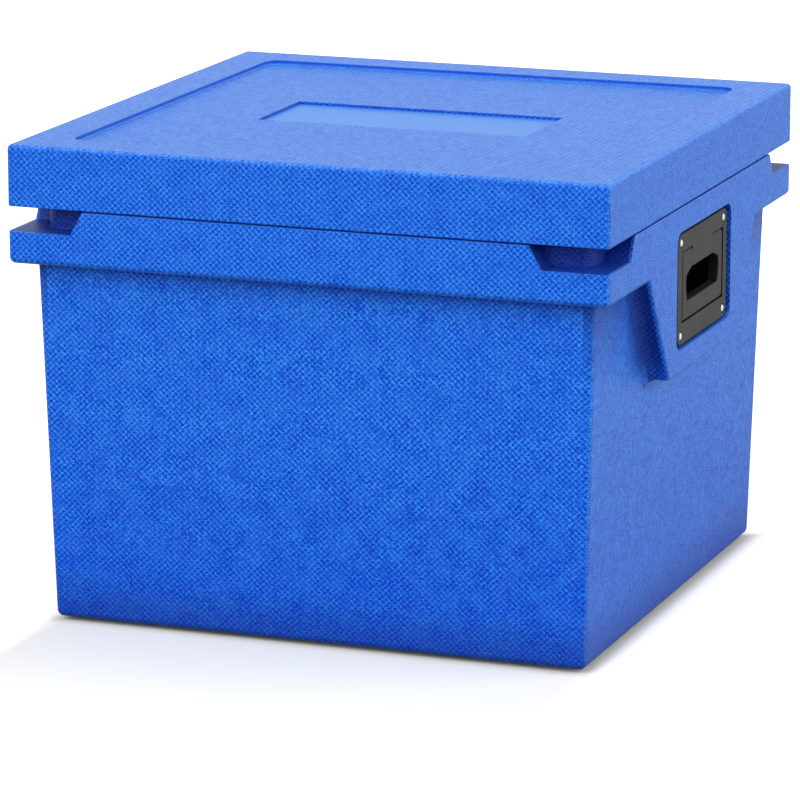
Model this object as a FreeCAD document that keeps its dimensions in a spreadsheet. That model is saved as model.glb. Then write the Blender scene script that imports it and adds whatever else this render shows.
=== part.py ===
import FreeCAD, Part
import math
import os
import re

import Sketcher

# Insulated shipping box: a moulded foam base and lift-off lid, lined with vacuum
# panels and coolant packs round a payload box, with a folding handle on each end.
# Millimetres. The origin is the middle of the underside, +Z is up, the handles are
# on the +X and -X ends, and the plain front faces -Y.

# Driving sizes. Words in the rules further down stand for these cells.
driving_sizes = {
    # Foam base and lid
    "BoxSide": 600,  # square plan of the lid and of the base's flange
    "FootHeight": 4,  # stacking foot, which sits in the recess of a lid below
    "FootClearance": 4,  # between the foot and the wall of that recess
    "FootCornerRadius": 16,
    "BodyHeight": 353.4,
    "BodyInsetFoot": 29.8,  # body wall behind the flange's face, at the bottom
    "BodyInsetTop": 20.5,  # the same at the flange, so the wall has draft
    "BodyEdgeRadius": 7,
    "FlangeHeight": 54.5,
    "FlangeEdgeRadius": 6,
    "RimEdgeRadius": 1.2,
    "SeatGap": 0.3,  # between a piece and the piece that it rests on
    "CutPast": 1,  # how far a cut runs past a face that it opens
    "LidHeight": 60,
    "LidCornerRadius": 5,
    "LidTopRadius": 4.5,
    "ShadowGapHeight": 0.7,  # step along the lid's outer lower edge
    "ShadowGapWidth": 8,
    "RecessMargin": 46,  # from the lid's side to the wall of its recess
    "RecessDepth": 4.7,
    "RecessCornerRadius": 15,
    "RecessCoveRadius": 2.4,
    "RecessEdgeRadius": 1.2,
    "LabelWidth": 278,
    "LabelDepthAlong": 112,
    "LabelShift": 8,  # the label field lies this much nearer to the front
    "LabelSink": 2.8,
    "LabelCornerRadius": 2,
    # Finger notches under the lid's corners
    "NotchReachTop": 78,
    "NotchReachBottom": 65,
    "NotchHeight": 23.2,
    "NotchDepth": 26,
    "NotchCornerRadius": 20,
    # Tongue on the rim and groove in the lid
    "TongueInset": 50,  # from the flange's face to the middle of the tongue
    "TongueWidth": 8,
    "TongueHeight": 8,
    "TongueCornerRadius": 14,
    "GrooveClearance": 0.8,
    # Inside of the base
    "WallThickness": 72,  # from the flange's face to the cavity
    "CavityCornerRadius": 3,
    "FloorThickness": 48,
    "LedgeDrop": 38,  # from the rim down to the ledge that the liner hangs on
    "RimWidth": 60,  # from the flange's face to the opening above the ledge
    "OpeningCornerRadius": 12,
    "PanelThickness": 25,
    "PanelEdgeRadius": 2,
    "LinerWall": 2.5,
    "LinerEdgeRadius": 5,
    "LinerFlangeClearance": 2,
    "PlugClearance": 1.5,
    "PlugLift": 1,  # between the lid's plug and the liner's flange
    # Inside of the lid
    "LidPanelMargin": 24,  # from the plug's side to the lid's vacuum panel
    "LidLinerMargin": 6.5,  # from the plug's side to the lid's liner
    # Coolant packs and the payload box
    "PackThickness": 25,
    "PackHeadroom": 5.7,  # between a side pack and the clips above it
    "PackEdgeRadius": 6,
    "PackNotchWidth": 46,
    "PackNotchDepth": 20,
    "PackDimpleRadius": 13,
    "PackDimpleDepth": 5,
    "CapRadius": 11,
    "CapHeight": 13,
    "CapWall": 2,
    "NeckRadius": 8,
    "PayloadHeadroom": 8.4,  # between the payload box and those clips
    "PayloadWall": 3,
    "PayloadCornerRadius": 8,
    "ClipWidth": 40,
    "ClipThickness": 2,
    "ClipHook": 12,
    "ClipFoot": 16,
    # Handle plate, cup, bail and pin, from the middle of the plate
    "BossTopWidth": 350,
    "BossBottomWidth": 220,
    "BossDrop": 107.4,  # below the underside of the flange
    "BossEdgeRadius": 4,
    "BossCoveRadius": 12,  # where the boss runs into the body's wall
    "HandleDrop": 27.4,  # middle of the plate, below the underside of the flange
    "PlateSink": 1.8,
    "PlateThickness": 3,
    "PlateWidth": 161,
    "PlateHeight": 108,
    "PlateCornerRadius": 10,
    "PlatePocketSide": 8,  # room at each end of the plate
    "PlatePocketEdge": 3.5,  # room above and below the plate
    "PlatePocketRadius": 12,
    "PlateOverhang": 3,  # of the plate's edge over the groove round its seat
    "PlateGrooveDepth": 7,
    "PlateEdgeRadius": 0.6,
    "BailWidth": 134,
    "BailTop": 36,
    "BailBottom": 33,
    "BailThickness": 10,
    "BailCornerRadius": 4.5,
    "BailSideGap": 1.1,
    "BailTopGap": 0.7,
    "BailBottomGap": 0.4,
    "TongueHalf": 33.3,
    "TongueGap": 0.5,  # between the plate's tongue and an arm of the bail
    "HoleHalfTop": 53.5,
    "HoleHalfBottom": 50.5,
    "HoleTop": 17,
    "HoleWingDrop": 6.5,  # each end of the hole's top lies this much lower
    "HoleShoulder": 0,
    "HoleBottom": 14.7,
    "HoleTopRadius": 7,
    "HoleBottomRadius": 3.5,
    "HoleEdgeRadius": 0.9,
    "GripRadius": 3,
    "PivotDrop": 5,  # pin below the bail's top edge and behind its face
    "BarrelBackRadius": 4.9,
    "BarrelFrontRadius": 4,
    "CupDepth": 36,
    "CupMargin": 1.8,
    "CupWall": 2.5,
    "CupCornerRadius": 8,
    "CupRibHalfSpace": 15,
    "CupRibWidth": 2,
    "CupRibHeight": 4,
    "PinRadius": 2,
    "PinFit": 0.06,
    "FoamFit": 0.5,
    "RivetSpanAcross": 138.7,
    "RivetSpanUp": 91,
    "RivetHeadRadius": 3.6,
    "RivetHeadHeight": 1.4,
    "RivetShankRadius": 2.4,
    "RivetLength": 32,
    "RivetSeatRadius": 4.7,
    "RivetSeatDepth": 1,
    "LinerRivetLength": 26,
}

# How edges are picked out for rounding
same_place = 0.05  # two coordinates this close are the same
lined_up = 0.9  # least share of an edge's direction that lies along an axis
well_within = 1  # how far from the end of a range an edge's middle may start

doc = FreeCAD.newDocument("InsulatedShippingBox")
sheet = doc.addObject("Spreadsheet::Sheet", "Sizes")
for row, (alias, number) in enumerate(driving_sizes.items(), start=1):
    sheet.set(f"A{row}", alias)
    sheet.set(f"B{row}", str(number))
    sheet.setAlias(f"B{row}", alias)
doc.recompute()

# Half widths, from the box's middle
box_half = "(BoxSide / 2)"
body_half_foot = "(BoxSide / 2 - BodyInsetFoot)"
body_half_top = "(BoxSide / 2 - BodyInsetTop)"
recess_half = f"({box_half} - RecessMargin)"
foot_half = f"({recess_half} - FootClearance)"
cavity_half = f"({box_half} - WallThickness)"
opening_half = f"({box_half} - RimWidth)"
plug_half = f"({opening_half} - PlugClearance)"
lid_panel_half = f"({plug_half} - LidPanelMargin)"
lid_liner_half = f"({plug_half} - LidLinerMargin)"
side_panel_inner = f"({cavity_half} - SeatGap - PanelThickness)"
liner_half = f"({side_panel_inner} - SeatGap)"
liner_inner_half = f"({liner_half} - LinerWall)"
payload_half = f"({liner_inner_half} - PackThickness - 2 * SeatGap)"
pack_long = f"({liner_inner_half} + {payload_half})"
pack_square = f"(2 * {payload_half} - 2 * SeatGap)"
clip_edge = f"({pack_square} / 2 + SeatGap)"
clip_screw_row = f"({clip_edge} + (ClipThickness + ClipFoot) / 2)"

# Levels, from the floor that the box stands on
flange_under = "(FootHeight + BodyHeight)"
rim_top = f"({flange_under} + FlangeHeight)"
lid_bottom = f"({rim_top} + SeatGap)"
lid_top = f"({lid_bottom} + LidHeight)"
recess_floor = f"({lid_top} - RecessDepth)"
ledge_level = f"({rim_top} - LedgeDrop)"
bottom_panel_top = "(FloorThickness + PanelThickness)"
liner_bottom = f"({bottom_panel_top} + SeatGap)"
liner_floor = f"({liner_bottom} + LinerWall)"
pack_stand = f"({liner_floor} + SeatGap)"
bottom_pack_top = f"({pack_stand} + PackThickness)"
payload_bottom = f"({bottom_pack_top} + SeatGap)"
plug_bottom = f"({ledge_level} + LinerWall + PlugLift)"
lid_liner_top = f"({plug_bottom} + LinerWall)"
lid_panel_bottom = f"({lid_liner_top} + SeatGap)"
lid_pack_top = f"({plug_bottom} - SeatGap)"
lid_pack_bottom = f"({lid_pack_top} - PackThickness)"
hook_top = f"({lid_pack_bottom} - SeatGap)"
hook_under = f"({hook_top} - ClipThickness)"
pack_height = f"({hook_under} - PackHeadroom - {pack_stand})"
payload_height = f"({hook_under} - PayloadHeadroom - {payload_bottom})"

# The handle, across the box's end and up from the floor
handle_level = f"({flange_under} - HandleDrop)"
plate_face = "(BoxSide / 2 - PlateSink)"
plate_back = f"({plate_face} - PlateThickness)"
window_half = "(BailWidth / 2 + BailSideGap)"
window_top = f"({handle_level} + BailTop + BailTopGap)"
window_bottom = f"({handle_level} - BailBottom - BailBottomGap)"
cup_half = f"({window_half} + CupMargin)"
cup_top = f"({window_top} + CupMargin)"
cup_bottom = f"({window_bottom} - CupMargin)"
cup_back = f"({plate_face} - CupDepth)"
tongue_end = f"({handle_level} + HoleTop)"
pin_level = f"({handle_level} + BailTop - PivotDrop)"
pin_depth = f"({plate_face} - PivotDrop)"

parts = []


def bound(rule):
    return re.sub(r"[A-Z][A-Za-z]+", lambda word: f"Sizes.{word[0]}", rule)


def value(rule):
    return float(sheet.evalExpression(bound(rule)))


def new_body(label):
    body = doc.addObject("PartDesign::Body", label)
    body.Label = label
    return body


def origin_feature(body, role):
    return [item for item in body.Origin.OriginFeatures if item.Role == role][0]


def sketch_on(body, role, height="0"):
    sketch = body.newObject("Sketcher::SketchObject", "Outline")
    sketch.AttachmentSupport = [(origin_feature(body, role), "")]
    sketch.MapMode = "FlatFace"
    if height != "0":
        sketch.setExpression("AttachmentOffset.Base.z", bound(height))
    return sketch


def pin_point(sketch, piece, point, kind, rule):
    number = value(rule)
    if abs(number) < 1e-9:
        axis = -2 if kind == "DistanceX" else -1
        sketch.addConstraint(Sketcher.Constraint("PointOnObject", piece, point, axis))
    elif number > 0:
        index = sketch.addConstraint(Sketcher.Constraint(kind, -1, 1, piece, point, number))
        sketch.setExpression(f"Constraints[{index}]", bound(rule))
    else:
        index = sketch.addConstraint(Sketcher.Constraint(kind, piece, point, -1, 1, -number))
        sketch.setExpression(f"Constraints[{index}]", bound(f"-({rule})"))


def draw_loop(sketch, corners):
    first = sketch.GeometryCount
    spots = [FreeCAD.Vector(value(across), value(up), 0) for across, up in corners]
    for index, spot in enumerate(spots):
        following = spots[(index + 1) % len(spots)]
        sketch.addGeometry(Part.LineSegment(spot, following), False)
    for index in range(len(spots)):
        following = (index + 1) % len(spots)
        sketch.addConstraint(
            Sketcher.Constraint("Coincident", first + index, 2, first + following, 1)
        )
    for index, (across, up) in enumerate(corners):
        pin_point(sketch, first + index, 1, "DistanceX", across)
        pin_point(sketch, first + index, 1, "DistanceY", up)


def draw_circle(sketch, across, up, radius):
    center = FreeCAD.Vector(value(across), value(up), 0)
    circle = Part.Circle(center, FreeCAD.Vector(0, 0, 1), value(radius))
    index = sketch.addGeometry(circle, False)
    pin_point(sketch, index, 3, "DistanceX", across)
    pin_point(sketch, index, 3, "DistanceY", up)
    size = sketch.addConstraint(Sketcher.Constraint("Radius", index, value(radius)))
    sketch.setExpression(f"Constraints[{size}]", bound(radius))


def draw_rectangle(sketch, left, right, low, high):
    draw_loop(sketch, [(left, low), (right, low), (right, high), (left, high)])


def draw_rounded(sketch, left, right, low, high, radius):
    # Each corner is an arc about its own pinned centre, with tangent sides between
    corners = (
        (f"({right} - {radius})", f"({high} - {radius})", 0),
        (f"({left} + {radius})", f"({high} - {radius})", 1),
        (f"({left} + {radius})", f"({low} + {radius})", 2),
        (f"({right} - {radius})", f"({low} + {radius})", 3),
    )
    first = sketch.GeometryCount
    size = value(radius)
    ends = []
    for across, up, quarter in corners:
        center = FreeCAD.Vector(value(across), value(up), 0)
        circle = Part.Circle(center, FreeCAD.Vector(0, 0, 1), size)
        start = quarter * math.pi / 2
        arc = Part.ArcOfCircle(circle, start, start + math.pi / 2)
        sketch.addGeometry(arc, False)
        ends.append((arc.StartPoint, arc.EndPoint))
    for quarter in range(4):
        following = (quarter + 1) % 4
        sketch.addGeometry(Part.LineSegment(ends[quarter][1], ends[following][0]), False)
    for quarter, (across, up, _) in enumerate(corners):
        arc = first + quarter
        side = first + 4 + quarter
        next_arc = first + (quarter + 1) % 4
        pin_point(sketch, arc, 3, "DistanceX", across)
        pin_point(sketch, arc, 3, "DistanceY", up)
        index = sketch.addConstraint(Sketcher.Constraint("Radius", arc, size))
        sketch.setExpression(f"Constraints[{index}]", bound(radius))
        sketch.addConstraint(Sketcher.Constraint("Tangent", arc, 2, side, 1))
        sketch.addConstraint(Sketcher.Constraint("Tangent", side, 2, next_arc, 1))


def draw_square(sketch, half, radius=None):
    if radius is None:
        draw_rectangle(sketch, f"-{half}", half, f"-{half}", half)
    else:
        draw_rounded(sketch, f"-{half}", half, f"-{half}", half, radius)


def extrude(body, kind, sketch, length, turned=False, both_ways=False):
    feature = body.newObject(f"PartDesign::{kind}", kind)
    feature.Profile = sketch
    feature.setExpression("Length", bound(length))
    feature.Reversed = turned
    if both_ways:
        feature.SideType = "Symmetric"
    doc.recompute()
    return feature


def pad(body, sketch, length, turned=False, both_ways=False):
    return extrude(body, "Pad", sketch, length, turned, both_ways)


def pocket(body, sketch, length, turned=False, both_ways=False):
    return extrude(body, "Pocket", sketch, length, turned, both_ways)


def square_pad(body, half, bottom, height, radius=None):
    sketch = sketch_on(body, "XY_Plane", bottom)
    draw_square(sketch, half, radius)
    return pad(body, sketch, height)


def square_pocket(body, half, top, depth, radius=None):
    sketch = sketch_on(body, "XY_Plane", top)
    draw_square(sketch, half, radius)
    return pocket(body, sketch, depth)


def round_edges(body, radius, wanted):
    base = body.Tip
    names = []
    for number, edge in enumerate(base.Shape.Edges, start=1):
        halfway = (edge.FirstParameter + edge.LastParameter) / 2
        if edge.Degenerated:
            continue
        if wanted(edge.valueAt(halfway), edge.tangentAt(halfway)):
            names.append(f"Edge{number}")
    if not names:
        raise ValueError(f"{body.Label}: no edge to round with {radius}")
    feature = body.newObject("PartDesign::Fillet", "Fillet")
    feature.Base = (base, names)
    feature.setExpression("Radius", bound(radius))
    doc.recompute()
    return feature


def upright(along):
    return abs(along.z) > lined_up


def near(first, second):
    return abs(first - second) < same_place


def mirror(body, originals, role):
    feature = body.newObject("PartDesign::Mirrored", "Mirrored")
    feature.Originals = originals
    feature.MirrorPlane = (origin_feature(body, role), [""])
    body.Tip = feature
    doc.recompute()
    return feature


def turn_round(body, originals, copies):
    feature = body.newObject("PartDesign::PolarPattern", "PolarPattern")
    feature.Originals = originals
    feature.Axis = (origin_feature(body, "Z_Axis"), [""])
    feature.Angle = 360
    feature.Occurrences = copies
    body.Tip = feature
    doc.recompute()
    return feature


def place(piece, x="0", y="0", z="0", axis=(0, 0, 1), angle=0):
    spot = FreeCAD.Vector(value(x), value(y), value(z))
    piece.Placement = FreeCAD.Placement(spot, FreeCAD.Rotation(FreeCAD.Vector(*axis), angle))
    for letter, rule in (("x", x), ("y", y), ("z", z)):
        if rule != "0":
            piece.setExpression(f"Placement.Base.{letter}", bound(rule))


def keep(piece):
    parts.append(piece)
    return piece


# Foam base: tapered body on its stacking foot, flange with a finger notch at each
# corner, and the boss, plate pocket and cup well of a handle at each end
def make_base_shell():
    body = new_body("base_shell")
    square_pad(body, foot_half, "0", "FootHeight", "FootCornerRadius")
    lower = sketch_on(body, "XY_Plane", "FootHeight")
    draw_square(lower, body_half_foot)
    upper = sketch_on(body, "XY_Plane", flange_under)
    draw_square(upper, body_half_top)
    taper = body.newObject("PartDesign::AdditiveLoft", "TaperedBody")
    taper.Profile = lower
    taper.Sections = [upper]
    taper.Ruled = True
    doc.recompute()
    foot_edge = value(body_half_foot)
    foot_level = value("FootHeight")
    round_edges(
        body,
        "BodyEdgeRadius",
        lambda middle, along: (upright(along) and abs(middle.x) > foot_edge)
        or (
            near(middle.z, foot_level)
            and near(max(abs(middle.x), abs(middle.y)), foot_edge)
        ),
    )
    boss = sketch_on(body, "YZ_Plane")
    boss_foot = f"({flange_under} - BossDrop)"
    draw_loop(
        boss,
        [
            ("-BossTopWidth / 2", flange_under),
            ("-BossBottomWidth / 2", boss_foot),
            ("BossBottomWidth / 2", boss_foot),
            ("BossTopWidth / 2", flange_under),
        ],
    )
    pad(body, boss, "BoxSide", both_ways=True)
    face = value(box_half)
    wall = value(body_half_top)
    boss_top = value(flange_under)
    boss_side = value("BossTopWidth / 2")
    round_edges(
        body,
        "BossCoveRadius",
        lambda middle, along: foot_edge < abs(middle.x) < wall
        and abs(middle.y) < boss_side
        and foot_level + well_within < middle.z < boss_top - well_within
        and not upright(along),
    )
    crown_top = f"({flange_under} + FlangeHeight / 2)"
    crown = sketch_on(body, "XY_Plane", flange_under)
    draw_rectangle(
        crown, f"-{box_half}", box_half, "-BossTopWidth / 2", "BossTopWidth / 2"
    )
    pad(body, crown, "(FlangeHeight / 2)")
    crown_level = value(crown_top)
    round_edges(
        body,
        "BossEdgeRadius",
        lambda middle, along: near(abs(middle.x), face)
        and abs(middle.y) < boss_side + well_within
        and middle.z < crown_level - well_within,
    )

    flange = new_body("flange")
    square_pad(flange, box_half, flange_under, "FlangeHeight")
    rim = value(rim_top)
    round_edges(
        flange, "FlangeEdgeRadius", lambda middle, along: not near(middle.z, rim)
    )
    joined = body.newObject("PartDesign::Boolean", "JoinFlange")
    joined.Type = "Fuse"
    joined.setObjects([flange])
    doc.recompute()
    add_finger_notches(body)
    add_rim_and_cavity(body)
    add_handle_seats(body)
    return keep(body)


def add_finger_notches(body):
    notch_floor = f"({rim_top} - NotchHeight)"
    above = f"({rim_top} + CutPast)"
    past = f"({box_half} + CutPast)"
    slope = "((NotchReachTop - NotchReachBottom) / NotchHeight)"
    sketch = sketch_on(body, "XZ_Plane", box_half)
    for side in ("", "-"):
        draw_loop(
            sketch,
            [
                (f"{side}({box_half} - NotchReachTop - {slope} * CutPast)", above),
                (f"{side}({box_half} - NotchReachBottom)", notch_floor),
                (f"{side}{past}", notch_floor),
                (f"{side}{past}", above),
            ],
        )
    cut = pocket(body, sketch, "NotchDepth")
    turn_round(body, [cut], 4)
    wall = value(f"{box_half} - NotchDepth")
    round_edges(
        body,
        "NotchCornerRadius",
        lambda middle, along: upright(along)
        and near(abs(middle.x), wall)
        and near(abs(middle.y), wall),
    )


def add_rim_and_cavity(body):
    inner = f"({box_half} - TongueInset - TongueWidth / 2)"
    outer = f"({box_half} - TongueInset + TongueWidth / 2)"
    inner_radius = "(TongueCornerRadius - TongueWidth)"
    tongue_top = f"({rim_top} + TongueHeight)"
    square_pad(body, outer, rim_top, "TongueHeight", "TongueCornerRadius")
    square_pocket(body, inner, tongue_top, "TongueHeight", inner_radius)
    square_pocket(body, opening_half, rim_top, "LedgeDrop", "OpeningCornerRadius")
    square_pocket(
        body, cavity_half, ledge_level, f"({ledge_level} - FloorThickness)",
        "CavityCornerRadius",
    )
    height = value(rim_top)
    side = value(box_half)
    round_edges(
        body,
        "RimEdgeRadius",
        lambda middle, along: near(middle.z, height)
        and near(max(abs(middle.x), abs(middle.y)), side),
    )


def add_handle_seats(body):
    seat = sketch_on(body, "YZ_Plane", box_half)
    draw_plate_pocket(seat)
    cuts = [pocket(body, seat, "(PlateSink + PlateThickness)")]
    groove = sketch_on(body, "YZ_Plane", plate_back)
    draw_plate_pocket(groove)
    draw_rounded(
        groove,
        "-(PlateWidth / 2 - PlateOverhang)",
        "(PlateWidth / 2 - PlateOverhang)",
        f"({handle_level} - PlateHeight / 2 + PlateOverhang)",
        f"({handle_level} + PlateHeight / 2 - PlateOverhang)",
        "(PlateCornerRadius - PlateOverhang)",
    )
    cuts.append(pocket(body, groove, "PlateGrooveDepth"))
    well = sketch_on(body, "YZ_Plane", plate_back)
    draw_cup(well, "(CupWall + FoamFit)")
    cuts.append(pocket(body, well, "(CupDepth - PlateThickness + CupWall + FoamFit)"))
    bores = sketch_on(body, "YZ_Plane", plate_back)
    draw_rivet_circles(bores, "(RivetShankRadius + FoamFit)")
    cuts.append(pocket(body, bores, "(RivetLength + RivetSeatDepth)"))
    mirror(body, cuts, "YZ_Plane")


def draw_plate_pocket(sketch):
    draw_rounded(
        sketch,
        "-(PlateWidth / 2 + PlatePocketSide)",
        "(PlateWidth / 2 + PlatePocketSide)",
        f"({handle_level} - PlateHeight / 2 - PlatePocketEdge)",
        f"({handle_level} + PlateHeight / 2 + PlatePocketEdge)",
        "PlatePocketRadius",
    )


def draw_cup(sketch, margin):
    # The cup's inner outline, grown by a wall or a clearance
    draw_rounded(
        sketch,
        f"-({cup_half} + {margin})",
        f"({cup_half} + {margin})",
        f"({cup_bottom} - {margin})",
        f"({cup_top} + {margin})",
        f"(CupCornerRadius - CupWall + {margin})",
    )


def draw_rivet_circles(sketch, radius):
    for across in ("-RivetSpanAcross / 2", "RivetSpanAcross / 2"):
        for up in (f"{handle_level} - RivetSpanUp / 2", f"{handle_level} + RivetSpanUp / 2"):
            draw_circle(sketch, across, up, radius)


# Foam lid: recessed top with a sunk label field, plug below with the groove for the
# rim's tongue, the seat of the lid liner and the pocket of the lid's vacuum panel
def make_lid_shell():
    body = new_body("lid_shell")
    square_pad(body, box_half, lid_bottom, "LidHeight")
    round_edges(body, "LidCornerRadius", lambda middle, along: upright(along))
    round_edges(
        body,
        "LidTopRadius",
        lambda middle, along: near(middle.z, value(lid_top)),
    )
    square_pad(
        body, plug_half, plug_bottom, f"({lid_bottom} - {plug_bottom})", "OpeningCornerRadius"
    )

    step = sketch_on(body, "XY_Plane", lid_bottom)
    draw_square(step, box_half)
    draw_square(step, f"({box_half} - ShadowGapWidth)")
    pocket(body, step, "ShadowGapHeight", turned=True)
    side = value(box_half)
    corner = value("LidCornerRadius")
    lower_edge = value(f"{lid_bottom} + ShadowGapHeight")
    round_edges(
        body,
        "RimEdgeRadius",
        lambda middle, along: near(middle.z, lower_edge)
        and max(abs(middle.x), abs(middle.y)) > side - corner,
    )

    groove = sketch_on(body, "XY_Plane", lid_bottom)
    draw_square(
        groove,
        f"({box_half} - TongueInset + TongueWidth / 2 + GrooveClearance)",
        "(TongueCornerRadius + GrooveClearance)",
    )
    draw_square(
        groove,
        f"({box_half} - TongueInset - TongueWidth / 2 - GrooveClearance)",
        "(TongueCornerRadius - TongueWidth - GrooveClearance)",
    )
    pocket(body, groove, "(TongueHeight + GrooveClearance)", turned=True)
    square_pocket(body, recess_half, lid_top, "RecessDepth", "RecessCornerRadius")
    floor_level = value(recess_floor)
    round_edges(body, "RecessCoveRadius", lambda middle, along: near(middle.z, floor_level))
    top_level = value(lid_top)
    recess = value(recess_half)
    round_edges(
        body,
        "RecessEdgeRadius",
        lambda middle, along: near(middle.z, top_level)
        and max(abs(middle.x), abs(middle.y)) < recess + well_within,
    )
    label = sketch_on(body, "XY_Plane", recess_floor)
    draw_rounded(
        label,
        "-LabelWidth / 2",
        "LabelWidth / 2",
        "-(LabelDepthAlong / 2 + LabelShift)",
        "(LabelDepthAlong / 2 - LabelShift)",
        "LabelCornerRadius",
    )
    pocket(body, label, "LabelSink")

    liner_seat = sketch_on(body, "XY_Plane", plug_bottom)
    draw_square(liner_seat, f"({lid_liner_half} + SeatGap)", "OpeningCornerRadius")
    pocket(body, liner_seat, "(LinerWall + SeatGap)", turned=True)
    panel_pocket = sketch_on(body, "XY_Plane", f"({lid_liner_top} + SeatGap)")
    draw_square(panel_pocket, f"({lid_panel_half} + SeatGap)")
    pocket(body, panel_pocket, "(PanelThickness + SeatGap)", turned=True)
    bores = sketch_on(body, "XY_Plane", lid_liner_top)
    draw_liner_rivet_circles(bores, "(RivetShankRadius + FoamFit)")
    pocket(body, bores, "LinerRivetLength", turned=True)
    return keep(body)


def draw_liner_rivet_circles(sketch, radius):
    row = f"(({lid_panel_half} + {lid_liner_half}) / 2)"
    for across in (f"-{row}", "0", row):
        for up in (f"-{row}", "0", row):
            if (across, up) != ("0", "0"):
                draw_circle(sketch, across, up, radius)


# Vacuum panels: flat foil-wrapped slabs, loose in the foam
def make_vacuum_panel(label, width, depth, height, x="0", y="0", z="0"):
    body = new_body(label)
    sketch = sketch_on(body, "XY_Plane")
    draw_rectangle(sketch, f"-{width} / 2", f"{width} / 2", f"-{depth} / 2", f"{depth} / 2")
    pad(body, sketch, height)
    round_edges(body, "PanelEdgeRadius", lambda middle, along: upright(along))
    place(body, x, y, z)
    return keep(body)


def make_vacuum_panels():
    floor_side = f"(2 * {cavity_half} - 2 * SeatGap)"
    inner_side = f"(2 * {side_panel_inner})"
    height = f"({ledge_level} - SeatGap - {liner_bottom})"
    middle = f"({cavity_half} - SeatGap - PanelThickness / 2)"
    slab = "PanelThickness"
    make_vacuum_panel("vacuum_panel_bottom", floor_side, floor_side, slab, z="FloorThickness")
    make_vacuum_panel(
        "vacuum_panel_front", floor_side, slab, height, y=f"-{middle}", z=liner_bottom
    )
    make_vacuum_panel("vacuum_panel_back", floor_side, slab, height, y=middle, z=liner_bottom)
    side_length = f"({inner_side} - 2 * SeatGap)"
    make_vacuum_panel(
        "vacuum_panel_left", slab, side_length, height, x=f"-{middle}", z=liner_bottom
    )
    make_vacuum_panel(
        "vacuum_panel_right", slab, side_length, height, x=middle, z=liner_bottom
    )
    lid_side = f"(2 * {lid_panel_half})"
    make_vacuum_panel("vacuum_panel_lid", lid_side, lid_side, slab, z=lid_panel_bottom)


# Liner: a thin tub that hangs by its flange on the foam's ledge
def make_inner_liner():
    body = new_body("inner_liner")
    flange_half = f"({opening_half} - LinerFlangeClearance)"
    flange_top = f"({ledge_level} + LinerWall)"
    square_pad(
        body, liner_half, liner_bottom, f"({ledge_level} - {liner_bottom})",
        "LinerEdgeRadius",
    )
    square_pad(body, flange_half, ledge_level, "LinerWall", "OpeningCornerRadius")
    square_pocket(
        body, liner_inner_half, flange_top, f"({flange_top} - {liner_floor})",
        "(LinerEdgeRadius - LinerWall)",
    )
    keep(body)


def make_lid_liner():
    body = new_body("lid_liner")
    square_pad(body, lid_liner_half, plug_bottom, "LinerWall", "OpeningCornerRadius")
    bores = sketch_on(body, "XY_Plane", lid_liner_top)
    draw_liner_rivet_circles(bores, "(RivetShankRadius + PinFit)")
    pocket(body, bores, "LinerWall")
    screws = sketch_on(body, "XY_Plane", lid_liner_top)
    draw_clip_screw_circles(screws, "(RivetShankRadius + PinFit)")
    pocket(body, screws, "LinerWall")
    keep(body)

    rivets = new_body("lid_liner_rivets")
    heads = sketch_on(rivets, "XY_Plane", plug_bottom)
    draw_liner_rivet_circles(heads, "RivetHeadRadius")
    pad(rivets, heads, "(PlugLift / 2)", turned=True)
    shanks = sketch_on(rivets, "XY_Plane", plug_bottom)
    draw_liner_rivet_circles(shanks, "RivetShankRadius")
    pad(rivets, shanks, "LinerRivetLength")
    keep(rivets)


# Coolant packs: blow-moulded bottles, all standing up in their own frame, with a
# filler neck in a notched corner and welded dimples that hold the faces together
def make_coolant_pack(label, width, height):
    body = new_body(label)
    sketch = sketch_on(body, "XZ_Plane")
    half = f"({width} / 2)"
    draw_loop(
        sketch,
        [
            (f"-{half}", "0"),
            (half, "0"),
            (half, f"({height} - PackNotchDepth)"),
            (f"({half} - PackNotchWidth)", f"({height} - PackNotchDepth)"),
            (f"({half} - PackNotchWidth)", height),
            (f"-{half}", height),
        ],
    )
    pad(body, sketch, "PackThickness", both_ways=True)
    round_edges(body, "PackEdgeRadius", lambda middle, along: abs(along.y) > lined_up)
    face = value("PackThickness / 2")
    round_edges(
        body, "(PackEdgeRadius / 2)", lambda middle, along: near(abs(middle.y), face)
    )
    dimples = sketch_on(body, "XZ_Plane", "(PackThickness / 2)")
    for across in (f"-{half} / 2", f"{half} / 2"):
        for up in (f"{height} / 4", f"{height} * 3 / 4 - PackNotchDepth"):
            draw_circle(dimples, across, up, "PackDimpleRadius")
    cut = pocket(body, dimples, "PackDimpleDepth")
    mirror(body, [cut], "XZ_Plane")
    neck = sketch_on(body, "XY_Plane", f"({height} - PackNotchDepth)")
    draw_circle(neck, f"{half} - PackNotchWidth / 2", "0", "NeckRadius")
    pad(body, neck, "(CapHeight - CapWall - SeatGap)")
    return keep(body)


def make_cap(width, height):
    body = new_body("filler_cap")
    across = f"({width} / 2 - PackNotchWidth / 2)"
    base = f"({height} - PackNotchDepth + SeatGap)"
    outside = sketch_on(body, "XY_Plane", base)
    draw_circle(outside, across, "0", "CapRadius")
    pad(body, outside, "CapHeight")
    top = value(f"{base} + CapHeight")
    round_edges(body, "(CapWall / 2)", lambda middle, along: near(middle.z, top))
    bore = sketch_on(body, "XY_Plane", base)
    draw_circle(bore, across, "0", "(NeckRadius + SeatGap)")
    pocket(body, bore, "(CapHeight - CapWall)", turned=True)
    return body


def group(label, pieces):
    compound = doc.addObject("Part::Compound", label)
    compound.Label = label
    compound.Links = pieces
    doc.recompute()
    return keep(compound)


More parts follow.
